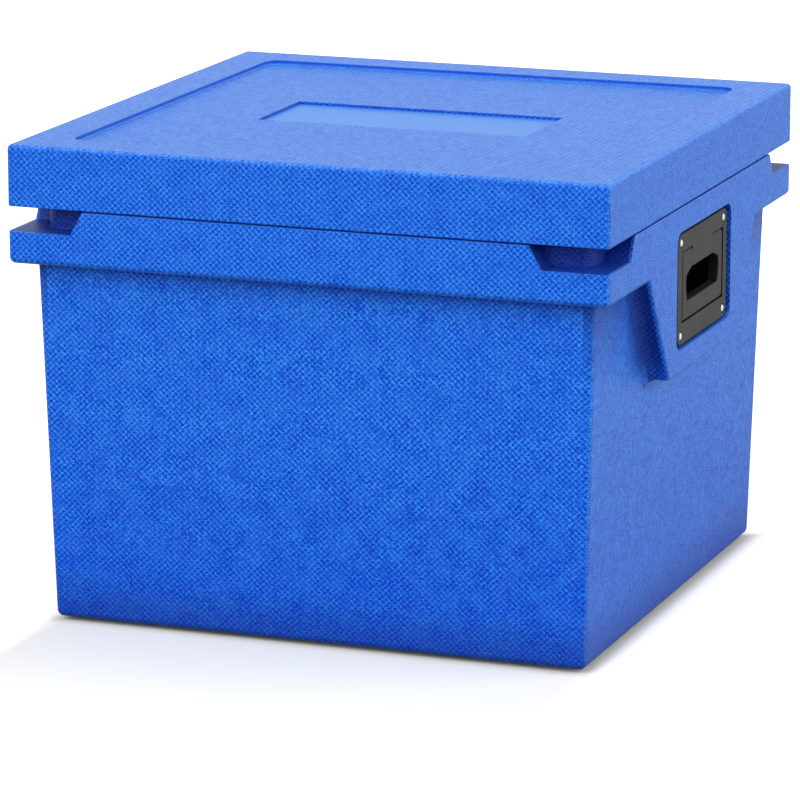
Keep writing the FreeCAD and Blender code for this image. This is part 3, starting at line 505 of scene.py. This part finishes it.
def shadeFoam(tree, x, y, z, onTop, forward):
    # How dark each sheltered place is, beyond what the lights make of it
    outward, sideward = calc(tree, "ABSOLUTE", x), calc(tree, "ABSOLUTE", y)
    reach = calc(tree, "MAXIMUM", outward, sideward)
    notch = chain(
        tree, "MULTIPLY",
        within(tree, z, foam["notchLow"], foam["notchHigh"]),
        between(tree, reach, foam["notchDeep"], foam["notchEdge"], foam["notchShade"], 0.0),
        calc(tree, "GREATER_THAN", reach, foam["innerReach"]),
    )
    lowWall = chain(
        tree, "MULTIPLY",
        calc(tree, "LESS_THAN", reach, foam["wallReach"]),
        calc(tree, "GREATER_THAN", z, foam["fieldLow"]),
        calc(tree, "SUBTRACT", 1.0, onTop),
        foam["wallShade"],
    )
    cheek = chain(
        tree, "MULTIPLY",
        calc(tree, "GREATER_THAN", outward, foam["cheekFrom"]),
        between(tree, outward, foam["cheekFrom"], foam["cheekTo"], foam["cheekShade"], 0.0),
        within(tree, z, foam["cheekLow"], foam["cheekHigh"]),
        calc(tree, "GREATER_THAN", forward, foam["cheekFacing"]),
    )
    bossEdge = calc(tree, "MULTIPLY_ADD", z, foam["bossSlope"], foam["bossFoot"])
    apart = calc(tree, "SUBTRACT", sideward, bossEdge)
    beside = between(tree, apart, 0.0, foam["leeWidth"], foam["leeShade"], 0.0)
    beside = calc(tree, "MULTIPLY", beside, between(tree, z, *foam["leeBottom"]))
    eaves = between(tree, z, foam["eavesBottom"], foam["cheekHigh"], 0.0, foam["eavesShade"])
    lee = chain(
        tree, "MULTIPLY",
        calc(tree, "MAXIMUM", beside, eaves),
        within(tree, outward, foam["leeFrom"], foam["leeTo"]),
        calc(tree, "LESS_THAN", z, foam["cheekHigh"]),
    )
    seam = chain(
        tree, "MULTIPLY",
        within(tree, z, foam["seamLow"], foam["seamHigh"]),
        calc(tree, "GREATER_THAN", reach, foam["seamReach"]),
        foam["seamShade"],
    )
    foot = between(tree, z, 0.0, foam["footRise"], foam["footShade"], 0.0)
    return chain(tree, "MAXIMUM", notch, foot, lowWall, cheek, lee, seam)


def makeFoam():
    material, tree, shader, place = startMaterial("blueBeadFoam")
    x, y, z = split(tree, place["Object"])
    sideways, forward, upward = [calc(tree, "ABSOLUTE", part) for part in split(tree, place["Normal"])]
    onTop = calc(tree, "GREATER_THAN", upward, weaving["facingUp"])
    onEnd = calc(tree, "GREATER_THAN", sideways, weaving["facingEnd"])
    reach = calc(tree, "MAXIMUM", calc(tree, "ABSOLUTE", x), calc(tree, "ABSOLUTE", y))
    field = chain(
        tree, "MULTIPLY",
        within(tree, x, -foam["fieldX"], foam["fieldX"]),
        within(tree, y, foam["fieldFront"], foam["fieldBack"]),
        within(tree, z, foam["fieldLow"], foam["fieldHigh"]),
    )
    wall = calc(tree, "MULTIPLY", calc(tree, "LESS_THAN", reach, foam["wallReach"]),
                calc(tree, "GREATER_THAN", z, foam["wallLow"]))
    inside = calc(tree, "MULTIPLY", calc(tree, "LESS_THAN", reach, foam["innerReach"]),
                  calc(tree, "LESS_THAN", z, foam["innerTop"]))
    calm = calc(tree, "MULTIPLY", between(tree, field, 0.0, 1.0, 1.0, foam["fieldCalm"]),
                between(tree, wall, 0.0, 1.0, 1.0, foam["wallCalm"]))

    skin = useGroup(tree, wovenSkin, {"Position": place["Object"], "Facing": place["Normal"]})
    beads = useGroup(tree, beadSkin, {"Position": place["Object"]})
    # Painted light and shade of the weave's relief: the threads' tops are coloured lighter and the hollows
    # between them darker, over the bump; the mottle and grit in the weave are the foam's own tone
    weave = calc(tree, "MULTIPLY", skin["Weave"], calm)
    tone = calc(tree, "MULTIPLY_ADD", weave, foam["contrast"], foam["middle"])
    tone = calc(tree, "MULTIPLY_ADD", skin["Cloud"], foam["clouding"], tone, clamp=True)
    # Painted shade: the foam is coloured darker towards the foot
    footTone = between(tree, z, foam["footBottom"], foam["footTop"], foam["footTone"], 0.0)
    tone = calc(tree, "ADD", tone, footTone, clamp=True)
    beadTone = calc(tree, "MULTIPLY_ADD", beads["Tone"], foam["beadSpread"], foam["beadMiddle"])
    beadTone = calc(tree, "MULTIPLY_ADD", beads["Seam"], foam["beadSeam"], beadTone)
    tone = calc(tree, "MULTIPLY_ADD", inside, calc(tree, "SUBTRACT", beadTone, tone), tone, clamp=True)
    color = blendColor(tree, tone, foam["dark"], foam["light"])
    # Painted highlight: the palest spots of the weave turn a brighter blue
    color = blendColor(tree, between(tree, tone, foam["sparkFrom"], 1.0), color, foam["spark"])
    tint = calc(tree, "MULTIPLY", between(tree, skin["Tint"], *foam["tintRange"]), foam["tintShare"])
    color = blendColor(tree, tint, color, foam["tinted"])
    # Painted sheen: the top, the ends and the smooth sunk field are coloured paler, as where the room's
    # light glances off them
    paleness = calc(tree, "MULTIPLY", onTop, foam["paleTop"])
    paleness = calc(tree, "MULTIPLY_ADD", onEnd, foam["paleEnds"], paleness)
    threads = calc(tree, "MULTIPLY_ADD", weave, foam["paleWeave"], 1.0)
    paleness = calc(tree, "MULTIPLY", paleness, threads, clamp=True)
    color = blendColor(tree, paleness, color, foam["pale"])
    color = blendColor(tree, calc(tree, "MULTIPLY", field, foam["fieldShare"]), color, foam["fieldPale"])
    shade = shadeFoam(tree, x, y, z, onTop, forward)
    plug(tree, shader["Base Color"], blendColor(tree, shade, color, foam["shade"]))
    roughness = between(tree, field, 0.0, 1.0, foam["roughness"], foam["fieldRoughness"])
    plug(tree, shader["Roughness"], roughness)
    plug(tree, shader["IOR"], foam["ior"])
    woven = calc(tree, "MULTIPLY", weave, foam["relief"])
    beaded = calc(tree, "MULTIPLY", beads["Seam"], -foam["beadRelief"])
    height = calc(tree, "MULTIPLY_ADD", inside, calc(tree, "SUBTRACT", beaded, woven), woven)
    bumpInto(tree, shader, height)
    return material


def dress(node, material):
    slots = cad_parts[node].data.materials
    if len(slots) == 0:
        slots.append(material)
    for index in range(len(slots)):
        slots[index] = material


blueFoam = makeFoam()
for node in ("base_shell", "lid_shell"):
    dress(node, blueFoam)
print("foam done")


# Moulded plastics

plastics = {
    "handleBlack": {
        "color": (0.0115, 0.0115, 0.0108, 1), "pale": (0.0205, 0.0205, 0.0197, 1),
        "scuffed": (0.06, 0.06, 0.06, 1), "roughness": 0.5, "ior": 1.30, "grain": 1300.0, "relief": 0.00004,
        "deepBelow": 0.2968, "deepLow": 0.3060, "deepHigh": 0.3530,
        "deepShare": 0.75, "deepShadeColor": (0.003, 0.003, 0.003, 1),
    },
    "rivetWhite": {
        "color": (0.88, 0.89, 0.90, 1), "pale": (0.93, 0.94, 0.95, 1), "scuffed": (0.80, 0.81, 0.82, 1),
        "roughness": 0.22, "ior": 1.5, "grain": 700.0, "relief": 0.000006,
    },
    "linerWhite": {
        "color": (0.78, 0.80, 0.82, 1), "pale": (0.84, 0.86, 0.88, 1), "scuffed": (0.62, 0.65, 0.68, 1),
        "roughness": 0.38, "ior": 1.46, "grain": 500.0, "relief": 0.00003,
    },
    "capWhite": {
        "color": (0.80, 0.81, 0.82, 1), "pale": (0.86, 0.87, 0.88, 1), "scuffed": (0.70, 0.71, 0.72, 1),
        "roughness": 0.34, "ior": 1.46, "grain": 800.0, "relief": 0.00002,
    },
    "payloadWhite": {
        "color": (0.74, 0.77, 0.80, 1), "pale": (0.82, 0.85, 0.88, 1), "scuffed": (0.58, 0.61, 0.66, 1),
        "roughness": 0.42, "ior": 1.46, "grain": 600.0, "relief": 0.00002,
        "flute": 0.0048, "fluteRelief": 0.0001,
    },
}

glossSpread = 0.06  # how far the grain moves the roughness either way


def makePlastic(name):
    look = plastics[name]
    material, tree, shader, place = startMaterial(name)
    grain = useGroup(tree, mouldedGrain, {
        "Position": place["Object"], "Grain": look["grain"], "Relief": look["relief"],
    })
    color = blendColor(tree, between(tree, grain["Cloud"], *noiseSpan), look["color"], look["pale"])
    color = blendColor(tree, grain["Scuff"], color, look["scuffed"])
    if "deepBelow" in look:  # painted shade, darker in the cup and behind the grip where little light gets in
        x, y, z = split(tree, place["Object"])
        deep = calc(tree, "LESS_THAN", calc(tree, "ABSOLUTE", x), look["deepBelow"])
        deep = calc(tree, "MULTIPLY", deep, within(tree, z, look["deepLow"], look["deepHigh"]))
        color = blendColor(tree, calc(tree, "MULTIPLY", deep, look["deepShare"]), color, look["deepShadeColor"])
    plug(tree, shader["Base Color"], color)
    smooth, dull = look["roughness"] - glossSpread, look["roughness"] + glossSpread
    plug(tree, shader["Roughness"], between(tree, grain["Speckle"], *noiseSpan, smooth, dull))
    plug(tree, shader["IOR"], look["ior"])
    height = grain["Height"]
    if "flute" in look:  # twin-wall sheet shows its webs as faint upright lines
        x, y, z = split(tree, place["Object"])
        turn = calc(tree, "MULTIPLY", calc(tree, "ADD", x, y), math.tau / look["flute"])
        height = calc(tree, "MULTIPLY_ADD", calc(tree, "COSINE", turn), look["fluteRelief"], height)
    bumpInto(tree, shader, height)
    return material


handleBlack, rivetWhite, linerWhite, capWhite, payloadWhite = [makePlastic(name) for name in plastics]


# Coolant packs: milky bottles with the pale blue filling showing through

bottle = {
    "milky": (0.62, 0.76, 0.86, 1),
    "filled": (0.40, 0.62, 0.80, 1),
    "roughness": 0.36,
    "relief": 0.0006,
    "grain": 420.0,
    "grainRelief": 0.00004,
    "slosh": 9.0,
    "milkiness": 0.15,
    "milkDepth": 0.004,
}


def makeBottle():
    material, tree, shader, place = startMaterial("milkyBottle")
    grain = useGroup(tree, mouldedGrain, {
        "Position": place["Object"], "Grain": bottle["grain"], "Relief": bottle["grainRelief"],
    })
    slosh = noise(tree, place["Object"], bottle["slosh"])[0]
    color = blendColor(tree, between(tree, slosh, *noiseSpan), bottle["milky"], bottle["filled"])
    plug(tree, shader["Base Color"], color)
    plug(tree, shader["Roughness"], bottle["roughness"])
    plug(tree, shader["Subsurface Weight"], bottle["milkiness"])
    plug(tree, shader["Subsurface Scale"], bottle["milkDepth"])
    swell = calc(tree, "MULTIPLY_ADD", slosh, bottle["relief"], grain["Height"])
    bumpInto(tree, shader, swell)
    return material


# Vacuum panels: crinkled metal film drawn tight round the core

film = {
    "bright": (0.74, 0.75, 0.76, 1),
    "dull": (0.52, 0.53, 0.55, 1),
    "bend": 18.0,
    "bendReach": 0.03,
    "crease": 34.0,
    "creaseWidth": 0.22,
    "fine": 160.0,
    "fineShare": 0.35,
    "roughness": (0.28, 0.42),
    "relief": 0.0012,
}


def makeFilm():
    material, tree, shader, place = startMaterial("barrierFilm")
    bent = drift(tree, place["Object"], film["bend"], film["bendReach"])
    cell = {"Vector": bent, "Scale": film["crease"], "Randomness": 1.0}
    crease = addNode(tree, "ShaderNodeTexVoronoi", cell, feature="DISTANCE_TO_EDGE").outputs["Distance"]
    ridge = between(tree, crease, 0.0, film["creaseWidth"], 1.0, 0.0)
    fine = noise(tree, bent, film["fine"], 4.0, 0.6)[0]
    plug(tree, shader["Base Color"], blendColor(tree, fine, film["dull"], film["bright"]))
    plug(tree, shader["Roughness"], between(tree, ridge, 0.0, 1.0, *film["roughness"]))
    plug(tree, shader["Metallic"], 1.0)
    height = calc(tree, "MULTIPLY_ADD", fine, film["fineShare"], ridge)
    bumpInto(tree, shader, calc(tree, "MULTIPLY", height, film["relief"]))
    return material


# Steel of the clips, screws and hinge pins

steel = {"light": (0.62, 0.62, 0.63, 1), "deep": (0.42, 0.42, 0.43, 1), "roughness": (0.30, 0.42)}


def makeSteel():
    material, tree, shader, place = startMaterial("brushedSteel")
    brushed = useGroup(tree, brushedLines, {"Position": place["Object"]})
    plug(tree, shader["Base Color"], blendColor(tree, brushed["Line"], steel["deep"], steel["light"]))
    plug(tree, shader["Roughness"], between(tree, brushed["Line"], *noiseSpan, *steel["roughness"]))
    plug(tree, shader["Metallic"], 1.0)
    bumpInto(tree, shader, brushed["Height"])
    return material


milkyBottle = makeBottle()
barrierFilm = makeFilm()
brushedSteel = makeSteel()

finishes = {
    "handle_plate": handleBlack, "bail": handleBlack, "hinge_pin": brushedSteel,
    "plate_rivets": rivetWhite, "vacuum_panel": barrierFilm, "inner_liner": linerWhite,
    "lid_liner": linerWhite, "lid_liner_rivets": rivetWhite, "coolant_pack": milkyBottle,
    "pack_caps": capWhite, "lid_pack_cap": capWhite, "lid_pack_clips": brushedSteel,
    "clip_screws": brushedSteel, "payload_box": payloadWhite,
}
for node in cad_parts:
    for word, material in finishes.items():
        if word in node:
            dress(node, material)
print("finishes done")


# Mesh helpers

def addPiece(name, mesh):
    piece = bpy.data.objects.new(name, mesh)
    bpy.context.scene.collection.objects.link(piece)
    return piece


def loft(name, loops):
    # Skins equal rings of points, one after another, and closes both ends
    count = len(loops[0])
    points = [point for loop in loops for point in loop]
    faces = []
    for row in range(len(loops) - 1):
        for step in range(count):
            following = (step + 1) % count
            first, second = row * count, (row + 1) * count
            faces.append((first + step, first + following, second + following, second + step))
    faces.append(tuple(reversed(range(count))))
    faces.append(tuple(range((len(loops) - 1) * count, len(loops) * count)))
    mesh = bpy.data.meshes.new(name)
    mesh.from_pydata(points, [], faces)
    return mesh


pole = 0.00002  # radius at which a turned end closes


def lathe(name, profile, steps):
    # Turns (radius, height) points about Z, from the bottom up on the outside
    loops = [
        [(radius * math.cos(math.tau * step / steps), radius * math.sin(math.tau * step / steps), height)
         for step in range(steps)]
        for radius, height in profile
    ]
    return loft(name, loops)


def smoothBy(mesh, angle=0.6):
    mesh.shade_smooth()
    mesh.set_sharp_from_angle(angle=angle)


# Geometry trees that several pieces share

def makeGridOf():
    # Copies one piece over a flat grid, leaves out the middle where asked, then turns and places the lot
    group, given, out = startGroup(
        "gridOf",
        "GeometryNodeTree",
        {
            "Piece": ("NodeSocketObject", None),
            "Span X": (numberKind, 0.1), "Span Y": (numberKind, 0.1),
            "Columns": ("NodeSocketInt", 2), "Rows": ("NodeSocketInt", 2),
            "Empty Middle": (numberKind, 0.0),
            "Turn": (vectorKind, None), "Place": (vectorKind, None),
            "Finish": ("NodeSocketMaterial", None),
        },
        {"Geometry": "NodeSocketGeometry"},
    )
    grid = addNode(group, "GeometryNodeMeshGrid", {
        "Size X": given["Span X"], "Size Y": given["Span Y"],
        "Vertices X": given["Columns"], "Vertices Y": given["Rows"],
    }).outputs["Mesh"]
    where = group.nodes.new("GeometryNodeInputPosition").outputs[0]
    away = addNode(group, "ShaderNodeVectorMath", {0: where}, operation="LENGTH").outputs["Value"]
    near = calc(group, "LESS_THAN", away, given["Empty Middle"])
    kept = addNode(group, "GeometryNodeDeleteGeometry", {"Geometry": grid, "Selection": near}).outputs[0]
    piece = addNode(group, "GeometryNodeObjectInfo", {"Object": given["Piece"]}).outputs["Geometry"]
    scatter = {"Points": kept, "Instance": piece}
    copies = addNode(group, "GeometryNodeInstanceOnPoints", scatter).outputs[0]
    placed = addNode(group, "GeometryNodeTransform", {
        "Geometry": copies, "Translation": given["Place"], "Rotation": given["Turn"],
    }).outputs[0]
    solid = addNode(group, "GeometryNodeRealizeInstances", {"Geometry": placed}).outputs[0]
    finish = {"Geometry": solid, "Material": given["Finish"]}
    plug(group, out["Geometry"], addNode(group, "GeometryNodeSetMaterial", finish).outputs[0])
    return group


def makeRingOf():
    # Copies one piece round a circle, each copy turned to face outwards
    group, given, out = startGroup(
        "ringOf",
        "GeometryNodeTree",
        {
            "Piece": ("NodeSocketObject", None), "Count": ("NodeSocketInt", 4), "Radius": (numberKind, 0.1),
            "Turn": (vectorKind, None), "Place": (vectorKind, None), "Finish": ("NodeSocketMaterial", None),
        },
        {"Geometry": "NodeSocketGeometry"},
    )
    circle = {"Vertices": given["Count"], "Radius": given["Radius"]}
    ring = addNode(group, "GeometryNodeMeshCircle", circle).outputs[0]
    index = group.nodes.new("GeometryNodeInputIndex").outputs[0]
    angle = calc(group, "DIVIDE", calc(group, "MULTIPLY", index, math.tau), given["Count"])
    piece = addNode(group, "GeometryNodeObjectInfo", {"Object": given["Piece"]}).outputs["Geometry"]
    copies = addNode(group, "GeometryNodeInstanceOnPoints", {
        "Points": ring, "Instance": piece, "Rotation": join(group, z=angle),
    }).outputs[0]
    placed = addNode(group, "GeometryNodeTransform", {
        "Geometry": copies, "Translation": given["Place"], "Rotation": given["Turn"],
    }).outputs[0]
    solid = addNode(group, "GeometryNodeRealizeInstances", {"Geometry": placed}).outputs[0]
    finish = {"Geometry": solid, "Material": given["Finish"]}
    plug(group, out["Geometry"], addNode(group, "GeometryNodeSetMaterial", finish).outputs[0])
    return group


def grow(name, tree, settings):
    # Runs a tree once and keeps its result as a plain mesh
    carrier = addPiece("carrier", bpy.data.meshes.new("carrier"))
    modifier = carrier.modifiers.new("grow", "NODES")
    modifier.node_group = tree
    for item in tree.interface.items_tree:
        if item.in_out == "INPUT" and item.name in settings:
            modifier[item.identifier] = settings[item.name]
    bpy.context.view_layer.update()
    graph = bpy.context.evaluated_depsgraph_get()
    mesh = bpy.data.meshes.new_from_object(carrier.evaluated_get(graph))
    bpy.data.objects.remove(carrier)
    mesh.name = name
    return addPiece(name, mesh)


gridOf = makeGridOf()
ringOf = makeRingOf()


# Rivets of the handle plates and of the lid's liner

rivet = {
    "head": 0.0036,
    "rise": 0.0017,
    "rim": 0.0004,
    "edge": 0.0002,
    "domeSteps": 8,
    "shank": 0.0024,
    "length": 0.0200,
    "steps": 36,
    "spanAcross": 0.1387,
    "spanUp": 0.0910,
    "plateSeat": 0.2972,
    "level": 0.3300,
    "linerSpan": 0.4465,
    "linerSeat": 0.3774,
    "linerRise": 0.0007,
    "linerGap": 0.01,  # the liner's middle has none
}


def makeRivetMesh(name, rise):
    head, shank, rim, edge = rivet["head"], rivet["shank"], rivet["rim"], rivet["edge"]
    profile = [(shank, -rivet["length"]), (shank, 0.0), (head - edge, 0.0), (head, edge), (head, rim)]
    for step in range(1, rivet["domeSteps"] + 1):
        angle = math.pi / 2 * step / rivet["domeSteps"]
        height = rim + (rise - rim) * math.sin(angle)
        profile.append((max(head * math.cos(angle), pole), height))
    mesh = lathe(name, profile, rivet["steps"])
    smoothBy(mesh)
    return mesh


def makeRivets():
    sample = addPiece("rivetSample", makeRivetMesh("rivetSample", rivet["rise"]))
    flat = addPiece("flatRivetSample", makeRivetMesh("flatRivetSample", rivet["linerRise"]))
    for side, sign in (("right", 1), ("left", -1)):
        piece = grow(f"{side}PlateRivets", gridOf, {
            "Piece": sample, "Span X": rivet["spanUp"], "Span Y": rivet["spanAcross"],
            "Columns": 2, "Rows": 2, "Turn": (0.0, sign * math.pi / 2, 0.0),
            "Place": (sign * rivet["plateSeat"], 0.0, rivet["level"]), "Finish": rivetWhite,
        })
        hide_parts(f"{side}_plate_rivets")
        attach(piece, "base")
    piece = grow("lidLinerRivets", gridOf, {
        "Piece": flat, "Span X": rivet["linerSpan"], "Span Y": rivet["linerSpan"],
        "Columns": 3, "Rows": 3, "Empty Middle": rivet["linerGap"], "Turn": (math.pi, 0.0, 0.0),
        "Place": (0.0, 0.0, rivet["linerSeat"]), "Finish": rivetWhite,
    })
    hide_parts("lid_liner_rivets")
    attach(piece, "lid")
    bpy.data.objects.remove(sample)
    bpy.data.objects.remove(flat)


makeRivets()
print("rivets done")


# Ribbed filler caps of the coolant packs

cap = {
    "radius": 0.0102,
    "height": 0.0130,
    "bore": 0.0083,
    "wall": 0.0020,
    "bevel": 0.0012,
    "bevelSteps": 6,
    "dish": (0.62, 0.58),  # its slope, as shares of the radius
    "dishDepth": 0.0005,
    "steps": 48,
    "ribs": 36,
    "ribWidth": 0.0009,
    "ribDepth": 0.0010,
    "ribHeight": 0.0100,
    "ribBottom": 0.0006,
    "ribRoot": 0.0003,
    "ribShoulder": 0.6,
    "ribCrown": 0.4,
    "packCentre": (0.1513, -0.1896),  # of the front pack's cap
    "standLevel": 0.3244,
    "lyingX": 0.1510,
    "lyingY": -0.1543,
    "bottomLevel": 0.0886,
    "lidLevel": 0.3646,
}


def makeCapShell():
    outer, bevel, top = cap["radius"], cap["bevel"], cap["height"]
    roof, bore, sunk = top - cap["wall"], cap["bore"], top - cap["dishDepth"]
    profile = [(pole, roof), (bore, roof), (bore, 0.0), (outer, 0.0)]
    for step in range(cap["bevelSteps"] + 1):
        angle = math.pi / 2 * step / cap["bevelSteps"]
        profile.append((outer - bevel + bevel * math.cos(angle), top - bevel + bevel * math.sin(angle)))
    profile += [(outer * cap["dish"][0], top), (outer * cap["dish"][1], sunk), (pole, sunk)]
    return lathe("capShell", profile, cap["steps"])


def makeRibMesh():
    wide, deep, root = cap["ribWidth"] / 2, cap["ribDepth"], -cap["ribRoot"]
    shoulder, crown = deep * cap["ribShoulder"], wide * cap["ribCrown"]
    lower = [(root, -wide), (shoulder, -wide), (deep, -crown)]
    outline = lower + [(x, -y) for x, y in reversed(lower)]
    levels = (cap["ribBottom"], cap["ribBottom"] + cap["ribHeight"])
    return loft("capRib", [[(x, y, level) for x, y in outline] for level in levels])


def joinMeshes(name, meshes, moves):
    # One mesh out of several, each with its own move
    whole = bmesh.new()
    for mesh, move in zip(meshes, moves):
        copy = mesh.copy()
        copy.transform(move)
        whole.from_mesh(copy)
        bpy.data.meshes.remove(copy)
    joined = bpy.data.meshes.new(name)
    whole.to_mesh(joined)
    whole.free()
    return joined


def makeCaps():
    rib = addPiece("capRib", makeRibMesh())
    ring = grow("capRibs", ringOf, {
        "Piece": rib, "Count": cap["ribs"], "Radius": cap["radius"], "Finish": capWhite,
    })
    shell = makeCapShell()
    smoothBy(shell)
    shell.materials.append(capWhite)
    whole = joinMeshes("capWhole", [shell, ring.data], [Matrix(), Matrix()])
    smoothBy(whole)
    sample = addPiece("capSample", whole)
    x, y = cap["packCentre"]
    standing = grow("standingCaps", ringOf, {
        "Piece": sample, "Count": 4, "Radius": math.hypot(x, y), "Turn": (0.0, 0.0, math.atan2(y, x)),
        "Place": (0.0, 0.0, cap["standLevel"]), "Finish": capWhite,
    })
    tip = Matrix.Rotation(math.pi / 2, 4, "X")
    bottom = Matrix.Translation((cap["lyingX"], cap["lyingY"], cap["bottomLevel"])) @ tip
    top = Matrix.Translation((cap["lyingX"], cap["lyingY"], cap["lidLevel"])) @ tip
    for name, meshes, moves, node, body in (
        ("packCaps", [standing.data, whole], [Matrix(), bottom], "pack_caps", "base"),
        ("lidPackCap", [whole], [top], "lid_pack_cap", "lid"),
    ):
        mesh = joinMeshes(name, meshes, moves)
        mesh.materials.append(capWhite)
        smoothBy(mesh)
        piece = addPiece(name, mesh)
        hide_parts(node)
        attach(piece, body)
    for scratch in (rib, ring, sample, standing):
        bpy.data.objects.remove(scratch)


makeCaps()
print("caps done")


# Screws of the lid pack's clips

screw = {
    "head": 0.0036,
    "rise": 0.0014,
    "domeAngle": math.pi / 3,
    "domeSteps": 6,
    "shank": 0.0024,
    "length": 0.0045,
    "socket": 0.0015,
    "socketDepth": 0.0010,
    "row": 0.1833,
    "level": 0.3754,
    "steps": 36,
}


def makeScrews():
    rise, head, shank, tip = screw["rise"], screw["head"], screw["shank"], -screw["length"]
    profile = [(pole, tip), (shank, tip), (shank, 0.0), (head, 0.0)]
    for step in range(1, screw["domeSteps"] + 1):
        angle = screw["domeAngle"] * step / screw["domeSteps"]
        profile.append((head * math.cos(angle), rise * math.sin(angle) / math.sin(screw["domeAngle"])))
    floor = rise - screw["socketDepth"]
    profile += [(screw["socket"], rise), (screw["socket"], floor), (pole, floor)]
    mesh = lathe("screwSample", profile, screw["steps"])
    smoothBy(mesh)
    sample = addPiece("screwSample", mesh)
    piece = grow("clipScrews", ringOf, {
        "Piece": sample, "Count": 4, "Radius": screw["row"], "Turn": (math.pi, 0.0, 0.0),
        "Place": (0.0, 0.0, screw["level"]), "Finish": brushedSteel,
    })
    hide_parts("clip_screws")
    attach(piece, "lid")
    bpy.data.objects.remove(sample)


makeScrews()
print("screws done")
